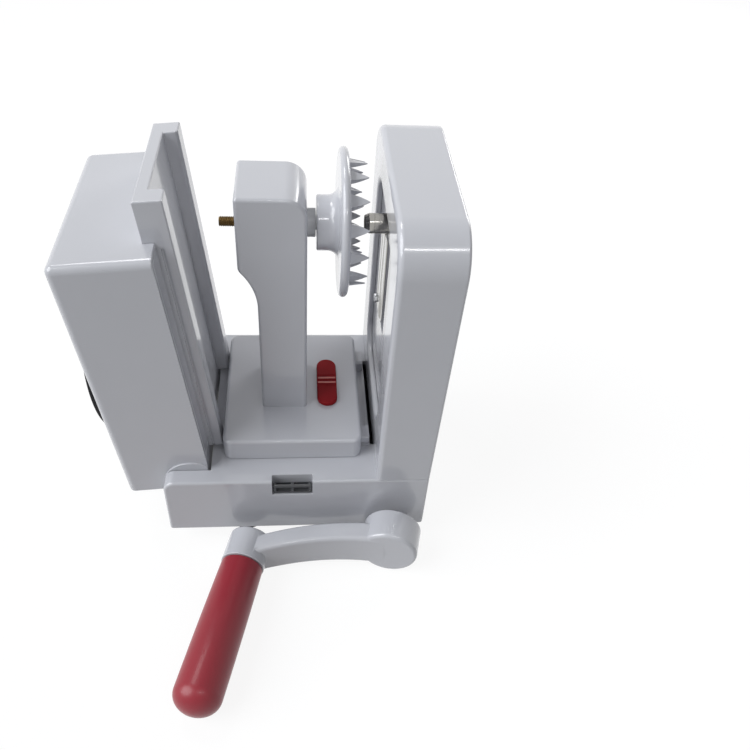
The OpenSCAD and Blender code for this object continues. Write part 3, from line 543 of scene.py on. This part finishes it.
def rail_frame():
    """Channel with a rail along each side, running past the top of the track, with a seam at each foot."""
    seat, floor_t, low, high, groove_end = 6.4, 0.5, 13, 190.5, 163
    foot, seam, seam_end = RAIL_HALF - RAIL_W, 0.9, 142
    bed = TRACK_FACE + floor_t
    near = [(TRACK_FACE + x, y) for x, y in rail_profile(-seat)] + [(bed, RAIL_W - RAIL_HALF)]
    far = [(x, -y) for x, y in reversed(near)]
    obj = plate("channel", near + far, "z", low, high)
    for start in (-RAIL_HALF - PAST, RAIL_HALF - GROOVE_DEEP):
        cut(obj, block("groove", (TRACK_FACE + GROOVE_LOW, start, low - PAST),
                       (TRACK_FACE + GROOVE_HIGH, start + GROOVE_DEEP + PAST, groove_end)))
    for start in (-foot, foot - seam):
        cut(obj, block("seam", (bed - seam, start, low - PAST), (bed + seam, start + seam, seam_end)))
    round_edges(obj, lambda a, b: same(a.z, b.z, high), width=0.9, segments=4)
    soften(obj, width=0.3, segments=2, angle=40)
    obj.data.transform(TRACK)
    finished(obj, "rail_frame")


def suction_pad():
    """Rubber pad whose soft lip flares out towards the table it grips."""
    centre, body, flare = 66, 40, 4.8
    obj = copied("suction_pad")
    obj.data.transform(TRACK.inverted())
    root = max(v.co.x for v in obj.data.vertices)
    end = min(v.co.x for v in obj.data.vertices)
    for vertex in obj.data.vertices:
        out = Vector((0, vertex.co.y, vertex.co.z - centre * MM))
        if out.length > body * MM:
            share = (root - vertex.co.x) / (root - end)
            vertex.co += out.normalized() * flare * MM * share
    soften(obj, width=0.5, segments=3)
    obj.data.transform(TRACK)
    finished(obj, "suction_pad")


# Carriage

def carriage_cover():
    """Rounded cover with a slot below for each rail."""
    corner, top_edge, low_edge = 6, 2.2, 0.5
    low, high = span("carriage_cover")
    obj = plate("cover", rounded((low.x, low.y), (high.x, high.y), corner), "z", low.z, high.z)
    round_edges(obj, lambda a, b: same(a.z, b.z, high.z), width=top_edge, segments=5)
    round_edges(obj, lambda a, b: same(a.z, b.z, low.z), width=low_edge, segments=2)
    for side in (-1, 1):
        near, far = sorted((side * (RAIL_HALF - RAIL_W - RAIL_PLAY), side * (RAIL_HALF + RAIL_PLAY)))
        cut(obj, block("slot", (low.x - PAST, near, low.z - PAST),
                       (high.x + PAST, far, DECK + RAIL_H + RAIL_PLAY)))
    finished(obj, "carriage_cover")


def lock_slider():
    """Red pill with a double rib across its middle, the tops of its ribs pale red as a painted highlight.
    """
    low, high = span("lock_slider")
    middle = (low.x + high.x) / 2
    half_w = (high.x - low.x) / 2
    pill_t = 3
    bottom = high.z - pill_t
    groove_r, groove_rise, groove_past = 1.4, 0.6, 4
    rib_gap, rib_r, rib_inset = 4.2, 0.8, 0.6
    stem_x, stem_y, stem_in = 3.5, 6, 0.4
    pill = arc((middle, high.y - half_w), half_w, 0, 180, 28)
    pill += arc((middle, low.y + half_w), half_w, 180, 360, 28)
    obj = plate("slider", pill, "z", bottom, high.z)
    round_edges(obj, lambda a, b: same(a.z, b.z, high.z), width=1.1, segments=4)
    round_edges(obj, lambda a, b: same(a.z, b.z, bottom), width=0.3, segments=2)
    for step in (-1, 0, 1):
        start = along_x(low.x - groove_past, step * rib_gap, high.z + groove_rise)
        cut(obj, rod("groove", groove_r, 2 * half_w + 2 * groove_past, start))
    soften(obj, width=0.25, segments=2, angle=45)
    fuse(obj, block("stem", (middle - stem_x, -stem_y, low.z), (middle + stem_x, stem_y, bottom + stem_in)))
    for side in (-1, 1):
        start = along_x(low.x + rib_inset, side * rib_gap / 2, high.z)
        rib = rod("rib", rib_r, 2 * (half_w - rib_inset), start, steps=20)
        soften(rib, width=0.4, segments=3, angle=45)
        fuse(obj, rib)
    finished(obj, "lock_slider", DARK_RED)
    obj.data.materials.append(RED_PAINTED_HIGHLIGHT)
    # Faces on top of the ribs take the pale red, which is a painted highlight
    for face in obj.data.polygons:
        if face.center.z / MM > high.z + rib_r / 4:
            face.material_index = 1


# Column and spindle

def column_halves():
    """Two halves of the column: a slim stem that sweeps out into the head, with screws from behind."""
    low, high = span("column_front")
    foot, reach, sweep_z = low.x + 10.1, low.x, SPIN.z - 46
    sweep_r, lip_r, head, brow, edge = 40, 6, 12, 2, 2.0
    bore_r, bore_len, bore_past = 6.05, 60, 10
    seat_deep, low_screw, mid_screw, head_screw = 3, 16, 70, 9
    centre = (foot - sweep_r, sweep_z)
    turn = math.acos((reach + lip_r - centre[0]) / (sweep_r + lip_r))
    lip = (reach + lip_r, sweep_z + (sweep_r + lip_r) * math.sin(turn))
    turn = math.degrees(turn)
    outline = ([(foot, low.z), (high.x, low.z)] + arc((high.x - head, high.z - head), head, 0, 90, 12)
               + arc((reach + brow, high.z - brow), brow, 90, 180, 5) + arc(lip, lip_r, 180, 180 + turn, 6)
               + arc(centre, sweep_r, turn, 0, 14)[1:])
    stem = foot + (high.x - foot) / 2
    seats = ((stem, low.z + low_screw), (stem, low.z + mid_screw),
             (high.x - head_screw, high.z - head_screw))
    for node, outer in (("column_front", low.y), ("column_rear", -low.y)):
        obj = plate("half", outline, "y", outer, 0)
        round_edges(obj, lambda a, b: same(a.y, b.y, outer) and not same(a.z, b.z, low.z),
                    width=edge, segments=5)
        cut(obj, rod("bore", bore_r, bore_len, along_x(low.x - bore_past, 0, SPIN.z)))
        if outer > 0:
            for x, z in seats:
                place = pointing((x, outer - seat_deep, z), (0, 1, 0))
                cut(obj, rod("seat", SCREW_SEAT_R, seat_deep + PAST, place))
        finished(obj, node)


def spike(long, wide):
    """One tooth of the disc: a leaf that points along x, thinner towards its blunt tip."""
    thick, root, tip, steps, taper, thinner = 3.2, 0.5, 0.35, 7, 1.5, 0.8
    shares = [i / steps for i in range(steps + 1)]
    side = [(long * s - root, wide / 2 * (1 - s ** taper) + tip * s) for s in shares]
    outline = [(x, -y) for x, y in side] + [(long, 0)] + side[::-1]
    obj = plate("spike", outline, "z", -thick / 2, thick / 2)
    for vertex in obj.data.vertices:
        vertex.co.z *= 1 - thinner * max(0.0, vertex.co.x / MM / long)
    soften(obj, width=0.25, segments=2, angle=40)
    return obj


def spiked_disc():
    """Disc on a hub that sweeps out into it, with an outer and an inner ring of spikes on its face."""
    start = span("spiked_disc")[0].x
    hub, sweep, hub_len, disc_t, rim, pocket = 15.5, 6.0, 12.2, 5.0, 39.0, 7.25
    bore, hub_edge, pocket_edge, pocket_deep = 4.05, 1, 0.6, 2
    # Of each ring of spikes: their count, the ring's radius, their length and width at the root
    rings = ((14, 33.5, 10.4, 7.2), (7, 17, 8.4, 5.6))
    profile = ([(bore, 0), (hub - hub_edge, 0)] + arc((hub - hub_edge, hub_edge), hub_edge, -90, 0, 4)
               + arc((hub + sweep, hub_len - sweep), sweep, 180, 90, 10)
               + arc((rim, hub_len + disc_t / 2), disc_t / 2, -90, 90, 12)
               + arc((pocket + pocket_edge, hub_len + disc_t - pocket_edge), pocket_edge, 90, 180, 3)
               + [(pocket, hub_len - pocket_deep), (bore, hub_len - pocket_deep)])
    obj = turned("disc", profile, along_x(start, 0, SPIN.z), steps=96)
    face = Matrix.Translation(Vector((start + hub_len + disc_t, 0, SPIN.z)) * MM)
    teeth = []
    for count, radius, long, wide in rings:
        tooth = spike(long, wide)
        for i in range(count):
            turn = Matrix.Rotation(math.radians((i + 0.5) * 360 / count), 4, "X")
            teeth.append(moved(tooth, face @ turn @ Matrix.Translation((0, 0, radius * MM))))
        bpy.data.objects.remove(tooth)
    finished(join(obj, teeth), "spiked_disc")


def crank_stud():
    """Brass stud with a helical thread outside the column and a plain shank inside it."""
    low, high = span("crank_stud")
    outer, shank, pitch, depth, threaded, steps = 2.9, 2.3, 1.0, 0.45, 9.0, 60
    length, tip = high.x - low.x, 0.5
    thread = [(outer, depth + (threaded - depth) * i / steps) for i in range(steps + 1)]
    profile = [(0, 0), (outer - tip, 0)] + thread + [(shank, threaded), (shank, length), (0, length)]
    obj = turned("stud", profile, HERE, steps=40)
    for vertex in obj.data.vertices:
        x, y, z = vertex.co / MM
        if same(math.hypot(x, y), outer):
            phase = (z / pitch - math.atan2(y, x) / (2 * math.pi)) % 1
            inward = 1 - depth / outer * abs(2 * phase - 1)
            vertex.co.x *= inward
            vertex.co.y *= inward
    obj.data.transform(along_x(low.x, 0, SPIN.z))
    finished(obj, "crank_stud")


# Blade end

def housing():
    """Shell with the view window and cover with the open back, which leans out a little towards its top."""
    low, part = span("housing_shell")[0], span("housing_shell")[1].x
    high = span("housing_cover")[1]
    frame_low, frame_high = span("blade_frame")
    corner, window, play, rim, low_rim, seat_play = 24, 16, 0.4, 4.6, 5.6, 0.2
    shell_edge, view_edge, cover_edge, chute_edge = 3.4, 2.6, 1.8, 1.2
    screw_y, low_screw, high_screw, seat_deep, seat_len = 62, 21, 10, 2, 8
    overlap, land = 0.5, 0.4
    inside_view, inside_chute = -frame_low.y - 4, -frame_low.y + 1
    lean = (high.x - RIGHT) / (high.z - low.z)
    seat = frame_low.x - low.x - seat_play
    outline = ([(-HALF, low.z), (HALF, low.z)] + arc((HALF - corner, high.z - corner), corner, 0, 90, 20)
               + arc((corner - HALF, high.z - corner), corner, 90, 180, 20))
    opening = rounded((frame_low.y - play, frame_low.z - play), (-frame_low.y + play, frame_high.z + play),
                      window, steps=12)
    view = rounded((frame_low.y + rim, frame_low.z + low_rim), (-frame_low.y - rim, frame_high.z - rim),
                   window, steps=12)

    def in_view(a, b):
        return same(a.x, b.x, low.x) and max(abs(a.y), abs(b.y)) < inside_view

    shell = plate("shell", outline, "x", low.x, part)
    round_edges(shell, lambda a, b: same(a.x, b.x, low.x) and not same(a.z, b.z, low.z),
                width=shell_edge, segments=7)
    cut(shell, plate("window", view, "x", low.x - PAST, low.x + seat + overlap))
    cut(shell, plate("opening", opening, "x", low.x + seat, part + PAST))
    round_edges(shell, in_view, width=min(view_edge, seat - land), segments=5)
    finished(shell, "housing_shell")

    def on_face(a, b):
        return all(same(p.x, RIGHT + lean * (p.z - low.z)) for p in (a, b))

    def in_chute(a, b):
        return on_face(a, b) and max(abs(a.y), abs(b.y)) < inside_chute

    cover = plate("cover", outline, "x", part, high.x)
    for vertex in cover.data.vertices:
        if same(vertex.co.x / MM, high.x):
            vertex.co.x = RIGHT * MM + lean * (vertex.co.z - low.z * MM)
    round_edges(cover, lambda a, b: on_face(a, b) and not same(a.z, b.z, low.z),
                width=cover_edge, segments=5)
    cut(cover, plate("opening", opening, "x", part - PAST, high.x + PAST))
    round_edges(cover, in_chute, width=chute_edge, segments=4)
    for y in (-screw_y, screw_y):
        for z in (low.z + low_screw, high.z - corner - high_screw):
            cut(cover, rod("seat", SCREW_SEAT_R, seat_len, along_x(RIGHT - seat_deep, y, z)))
    finished(cover, "housing_cover")


def blade_frame():
    """Insert with the throat beside the blade, a boss for the core tube and a finger tab on each side."""
    low, high = span("blade_frame")
    thick, corner, boss_r, boss_out, sunk = 5, 16, 8.75, 5, 0.5
    bore_r, bore_len, bore_past = 5.8, 20, 5
    throat_near, throat_far, throat_low, throat_high = -12, 6, 73.75, 9.75
    tab_in, tab_out, tab_root, tab_low, tab_high = 40.5, 43.5, 2, 70, 30
    front, back = low.x, low.x + thick
    throat = rounded((throat_near, SPIN.z - throat_low), (throat_far, SPIN.z - throat_high),
                     radius=3, steps=6)
    tab = rounded((back - tab_root, SPIN.z - tab_low), (high.x, SPIN.z - tab_high), radius=2, steps=5)
    obj = plate("insert", rounded((low.y, low.z), (high.y, high.z), corner, steps=12), "x", front, back)
    fuse(obj, rod("boss", boss_r, back + boss_out - front - sunk, along_x(front + sunk, 0, SPIN.z),
                  steps=48))
    for side in (-1, 1):
        near, far = sorted((side * tab_in, side * tab_out))
        fuse(obj, plate("tab", tab, "y", near, far))
    cut(obj, plate("throat", throat, "x", front - PAST, back + PAST))
    cut(obj, rod("bore", bore_r, bore_len, along_x(front - bore_past, 0, SPIN.z), steps=48))
    soften(obj, width=0.5, segments=3, angle=50)
    finished(obj, "blade_frame")


def blade():
    """Ground steel strip: the edge beside the throat runs out to a thin wedge."""
    low, high = span("blade")
    slant, grind, land = 2, 5, 0.12
    hole_r, hole_len, hole_past, hole_in, low_hole, high_hole = 1.55, 6, 2, 4, 5, 6
    outline = [(low.y, low.z + slant), (high.y, low.z), (high.y, high.z), (low.y, high.z - slant)]
    obj = plate("strip", outline, "x", low.x, high.x)
    only(obj)
    bpy.ops.object.mode_set(mode="EDIT")
    bpy.ops.mesh.select_all(action="SELECT")
    bpy.ops.mesh.bisect(plane_co=Vector((low.x, low.y + grind, low.z)) * MM, plane_no=(0, 1, 0))
    bpy.ops.object.mode_set(mode="OBJECT")
    for vertex in obj.data.vertices:
        if same(vertex.co.y / MM, low.y) and same(vertex.co.x / MM, low.x):
            vertex.co.x = (high.x - land) * MM
    for z in (low.z + low_hole, high.z - high_hole):
        cut(obj, rod("hole", hole_r, hole_len, along_x(low.x - hole_past, high.y - hole_in, z), steps=24))
    soften(obj, width=0.06, segments=2, angle=50)
    finished(obj, "blade", GROUND_WITH_REFLECTIONS)


def core_tube():
    """Polished tube with a ground nose and a fine ring round it."""
    low, high = span("core_tube")
    outer, bore, nose, length = 5.75, 4.45, 2.5, high.x - low.x
    ring, ring_w, ring_edge, ring_deep, end_edge = 5.0, 0.5, 0.1, 0.12, 0.3
    tip, floor_r = outer - nose / 2, outer - ring_deep
    mouth = [(bore, 0.3), (bore + 0.05, 0.1), (tip - 0.1, 0), (tip + 0.15, 0.2)]
    cone = [(outer - 0.15, nose - 0.25), (outer, nose + 0.2)]
    groove = [(outer, ring), (floor_r, ring + ring_edge), (floor_r, ring + ring_w - ring_edge),
              (outer, ring + ring_w)]
    tail = [(outer, length - end_edge), (outer - end_edge, length), (bore, length)]
    obj = turned("tube", mouth + cone + groove + tail, along_x(low.x, 0, SPIN.z))
    finished(obj, "core_tube")


# Crank, modelled with the grip's way along -y and then laid in its place

CRANK_LEN, CRANK_HUB_R, CRANK_HUB_LEN, ARM_SWEEP, INSERT_LEN = 88.0, 18.5, 21.0, 25.0, 12.8
GRIP_AXIS = Vector(JOINTS["grip_spin"]["axis"])
GRIP_PLACE = Vector(JOINTS["grip_spin"]["pos_m"]) / MM
PIN_BORE = 4.05
OUT = (0, -1, 0)


def crank_place():
    """The hub's back end, with the grip's way along -y and the arm rolled down on to the grip."""
    low, high = span("crank_insert")
    origin = (low + high) / 2 - GRIP_AXIS * (INSERT_LEN / 2)
    yaw = math.atan2(GRIP_AXIS.x, -GRIP_AXIS.y)
    roll = math.asin((origin.z - GRIP_PLACE.z) / CRANK_LEN)
    return Matrix.Translation(origin * MM) @ Matrix.Rotation(yaw, 4, "Z") @ Matrix.Rotation(-roll, 4, "Y")


CRANK = crank_place()


def crank_arm():
    """Swept arm between the hub that goes on the stud and the boss that carries the grip."""
    thick, half_hub, half_grip, boss, boss_len, steps = 14.0, 13.0, 11.5, 13.6, 21.0, 16
    socket, socket_deep, pin_start = 5.05, 13, 3
    back_edge, front_edge, boss_edge, boss_lip = 1.5, 2.5, 2, 0.5
    start = CRANK_HUB_LEN + ARM_SWEEP
    shares = [i / steps for i in range(steps + 1)]
    front = [(-CRANK_LEN * s, -CRANK_HUB_LEN - ARM_SWEEP * s ** 2) for s in shares]
    obj = plate("arm", front + [(x, y + thick) for x, y in reversed(front)], "z", -half_hub, half_hub)
    for vertex in obj.data.vertices:
        vertex.co.z *= 1 + (half_grip / half_hub - 1) * min(1.0, -vertex.co.x / MM / CRANK_LEN)
    soften(obj, width=3.0, segments=4, angle=50)
    hub = ([(socket, 0), (CRANK_HUB_R - back_edge, 0)]
           + arc((CRANK_HUB_R - back_edge, back_edge), back_edge, -90, 0, 5)
           + arc((CRANK_HUB_R - front_edge, CRANK_HUB_LEN - front_edge), front_edge, 0, 90, 6)
           + [(0, CRANK_HUB_LEN), (0, socket_deep), (socket, socket_deep)])
    fuse(obj, turned("hub", hub, pointing((0, 0, 0), OUT), steps=72))
    end = ([(0, 0)] + arc((boss - boss_edge, boss_edge), boss_edge, -90, 0, 5)
           + arc((boss - boss_lip, boss_len - boss_lip), boss_lip, 0, 90, 3)
           + [(PIN_BORE, boss_len), (PIN_BORE, pin_start), (0, pin_start)])
    fuse(obj, turned("boss", end, pointing((-CRANK_LEN, boss_len - start, 0), OUT)))
    soften(obj, width=0.5, segments=2, angle=55)
    obj.data.transform(CRANK)
    finished(obj, "crank_arm")


def crank_grip():
    """Red grip, a little slimmer at the arm and domed at its free end."""
    radius, taper, lip, length, dome, bore_end, gap = 14.0, 0.9, 1.0, 94.0, 11.0, 72, 0.4
    steps, dome_steps = 12, 10
    run = length - lip - dome
    turns = [math.radians(90 * i / dome_steps) for i in range(1, dome_steps + 1)]
    shares = [i / steps for i in range(1, steps + 1)]
    profile = ([(PIN_BORE, 0)] + arc((radius - taper - lip, lip), lip, -90, 0, 4)
               + [(radius - taper * (1 - s) ** 2, lip + run * s) for s in shares]
               + [(radius * math.cos(t), length - dome * (1 - math.sin(t))) for t in turns]
               + [(0, bore_end), (PIN_BORE, bore_end)])
    place = CRANK @ pointing((-CRANK_LEN, -CRANK_HUB_LEN - ARM_SWEEP - gap, 0), OUT)
    finished(turned("grip", profile, place, steps=72), "crank_grip")


# Screws

HEAD_R, HEAD_H, SHANK_R = 2.9, 2.0, 1.5


def screw_head():
    """Pan head with a cross recess, its top at the origin, facing +z."""
    crown, slot, reach, deep = 1.1, 0.75, 3.2, 1.1
    profile = [(0, -HEAD_H), (HEAD_R, -HEAD_H)] + arc((HEAD_R - crown, -crown), crown, 0, 80, 6) + [(0, 0)]
    obj = turned("head", profile, HERE, steps=32)
    cut(obj, block("slot", (-reach / 2, -slot / 2, -deep), (reach / 2, slot / 2, PAST)))
    cut(obj, block("slot", (-slot / 2, -reach / 2, -deep), (slot / 2, reach / 2, PAST)))
    soften(obj, width=0.08, segments=1, angle=50)
    return obj


def screws(node, place=HERE):
    """Cross-recessed screws in place of each plain screw of a node, whose axes are square to the place."""
    tip_r, tip_len = 1.0, 1.2
    head = screw_head()
    copy = copied(node)
    copy.data.transform(place.inverted())
    only(copy)
    bpy.ops.object.mode_set(mode="EDIT")
    bpy.ops.mesh.separate(type="LOOSE")
    bpy.ops.object.mode_set(mode="OBJECT")
    singles = list(bpy.context.selected_objects)
    made = []
    for single in singles:
        points = [v.co / MM for v in single.data.vertices]
        low = Vector(min(p[i] for p in points) for i in range(3))
        high = Vector(max(p[i] for p in points) for i in range(3))
        axis = max(range(3), key=lambda i: high[i] - low[i])
        middle = (low + high) / 2
        wide = max(points, key=lambda p: (p - middle).length_squared - (p[axis] - middle[axis]) ** 2)
        outward = Vector((0, 0, 0))
        outward[axis] = 1 if wide[axis] > middle[axis] else -1
        top = middle.copy()
        top[axis] = high[axis] if outward[axis] > 0 else low[axis]
        made.append(moved(head, place @ pointing(top, outward)))
        length = high[axis] - low[axis] - HEAD_H
        shank = [(0, 0), (tip_r, 0), (SHANK_R, tip_len), (SHANK_R, length), (0, length)]
        point = top - outward * (length + HEAD_H)
        made.append(turned("shank", shank, place @ pointing(point, outward), steps=20))
        bpy.data.objects.remove(single)
    bpy.data.objects.remove(head)
    finished(join(made[0], made[1:]), node)


for build in (base_shell, front_catch, deck_rails, track_box, track_panel, rail_frame, suction_pad,
              carriage_cover, lock_slider, column_halves, spiked_disc, crank_stud, housing, blade_frame,
              blade, core_tube, crank_arm, crank_grip):
    build()
for name in ("base_screws", "housing_cover_screws", "column_screws", "blade_screws"):
    screws(name)
screws("rail_frame_screws", TRACK)

# Small pieces that keep their CAD shape, with their edges rounded by these widths in mm
SOFT_EDGES = {"base_bottom_cover": 0.5, "base_feet": 0.6, "suction_ring": 0.7, "bush_left": 0.3,
              "bush_right": 0.4, "crank_insert": 0.3}
for name, width in SOFT_EDGES.items():
    piece = copied(name)
    soften(piece, width)
    finished(piece, name)

# Each CAD node takes the material of its slot
for name, node in frame["nodes"].items():
    node.data.materials.clear()
    node.data.materials.append(MATERIALS[SLOT_OF[name]])


# Stage, light and camera

FLOOR_SIZE, FLOOR_DROP = 8.0, -0.0002
FLOOR_DARK, FLOOR_PALE = (0.44, 0.44, 0.445), (0.46, 0.46, 0.46)
FLOOR_WASH = 0.72
FLOOR_WHITE = 1.24
WORLD_COLOUR = (0.94, 0.97, 1.0, 1)
WORLD_LIGHT = 0.11


def seen_directly(tree):
    """One for what the camera sees, also in a mirror or through glass, and nought for light on things."""
    path = tree.nodes.new("ShaderNodeLightPath")
    either = tree.nodes.new("ShaderNodeMath")
    either.operation = "MAXIMUM"
    tree.links.new(path.outputs["Is Camera Ray"], either.inputs[0])
    tree.links.new(path.outputs["Is Glossy Ray"], either.inputs[1])
    every = tree.nodes.new("ShaderNodeMath")
    every.operation = "MAXIMUM"
    tree.links.new(either.outputs["Value"], every.inputs[0])
    tree.links.new(path.outputs["Is Transmission Ray"], every.inputs[1])
    return every.outputs["Value"]


def floor():
    """Pale floor that the camera sees as nearly white, with the object's shadow still on it."""
    bpy.ops.object.select_all(action="DESELECT")
    bpy.ops.mesh.primitive_plane_add(size=FLOOR_SIZE, location=(0, 0, FLOOR_DROP))
    obj = bpy.context.object
    obj.name = "floor"
    n = Nodes("floor_paper")
    n.paint("Base Color", n.ramp(n.noise(scale=6.0), FLOOR_DARK, FLOOR_PALE))
    n.set(Roughness=0.85)
    white = n.tree.nodes.new("ShaderNodeEmission")
    white.inputs["Strength"].default_value = FLOOR_WHITE
    washed = n.tree.nodes.new("ShaderNodeMixShader")
    washed.inputs["Fac"].default_value = FLOOR_WASH
    n.link(n.shader.outputs["BSDF"], washed.inputs[1])
    n.link(white.outputs["Emission"], washed.inputs[2])
    shown = n.tree.nodes.new("ShaderNodeMixShader")
    n.link(seen_directly(n.tree), shown.inputs["Fac"])
    n.link(n.shader.outputs["BSDF"], shown.inputs[1])
    n.link(washed.outputs["Shader"], shown.inputs[2])
    n.link(shown.outputs["Shader"], n.tree.nodes["Material Output"].inputs["Surface"])
    obj.data.materials.append(n.material)


def world():
    """Soft light from all round, and plain white wherever the camera or a mirror sees past the floor."""
    studio = bpy.data.worlds.new("studio")
    bpy.context.scene.world = studio
    studio.use_nodes = True
    tree = studio.node_tree
    seen = tree.nodes["Background"]
    seen.inputs["Color"].default_value = (1, 1, 1, 1)
    seen.inputs["Strength"].default_value = 1.0
    light = tree.nodes.new("ShaderNodeBackground")
    light.inputs["Color"].default_value = WORLD_COLOUR
    light.inputs["Strength"].default_value = WORLD_LIGHT
    mix = tree.nodes.new("ShaderNodeMixShader")
    tree.links.new(seen_directly(tree), mix.inputs["Fac"])
    tree.links.new(light.outputs["Background"], mix.inputs[1])
    tree.links.new(seen.outputs["Background"], mix.inputs[2])
    tree.links.new(mix.outputs["Shader"], tree.nodes["World Output"].inputs["Surface"])


def lit(name, light, way):
    """Object that carries a light and shines along a direction."""
    obj = bpy.data.objects.new(name, light)
    bpy.context.scene.collection.objects.link(obj)
    obj.rotation_euler = Vector(way).to_track_quat("-Z", "Y").to_euler()
    return obj


def sun(name, way, spread, strength, colour):
    """Wide soft light that falls the same all over the floor, coming from a direction."""
    light = bpy.data.lights.new(name, "SUN")
    light.color = colour
    light.angle = math.radians(spread)
    light.energy = strength
    lit(name, light, -Vector(way))


def area(name, place, aim, size, power):
    """Lamp with a rectangular face, at a place and facing its aim."""
    light = bpy.data.lights.new(name, "AREA")
    light.shape = "RECTANGLE"
    light.size, light.size_y = size
    light.energy = power
    lit(name, light, Vector(aim) - Vector(place)).location = place


def camera():
    """Camera at the photograph's place, turned, tilted down and rolled as it was."""
    right = Vector((math.cos(CAMERA_YAW), math.sin(CAMERA_YAW), 0))
    level = Vector((-math.sin(CAMERA_YAW), math.cos(CAMERA_YAW), 0))
    down = Vector((0, 0, -1))
    ahead = level * math.cos(CAMERA_PITCH) + down * math.sin(CAMERA_PITCH)
    above = level * math.sin(CAMERA_PITCH) - down * math.cos(CAMERA_PITCH)
    across = right * math.cos(CAMERA_ROLL) + above * math.sin(CAMERA_ROLL)
    upward = above * math.cos(CAMERA_ROLL) - right * math.sin(CAMERA_ROLL)
    data = bpy.data.cameras.new("photo_camera")
    data.lens = CAMERA_LENS
    obj = bpy.data.objects.new("photo_camera", data)
    bpy.context.scene.collection.objects.link(obj)
    turn = Matrix((across, upward, -ahead)).transposed()
    obj.matrix_world = Matrix.Translation(CAMERA_PLACE) @ turn.to_4x4()
    bpy.context.scene.camera = obj


floor()
world()
sun("sky", way=(-1.2, -0.3, 0.95), spread=50, strength=2.6, colour=(0.96, 0.98, 1.0))
area("lamp", place=(-0.35, 0.35, 0.95), aim=(0, 0, 0.15), size=(0.28, 0.28), power=1.6)
area("back", place=(0.7, 0.8, 0.6), aim=(0, 0, 0.13), size=(0.5, 0.5), power=4.0)
area("strip", place=(0.23, -0.76, 1.09), aim=(0.05, -0.03, 0.2), size=(0.6, 0.06), power=1.9)
camera()
bpy.context.scene.view_settings.view_transform = "Standard"
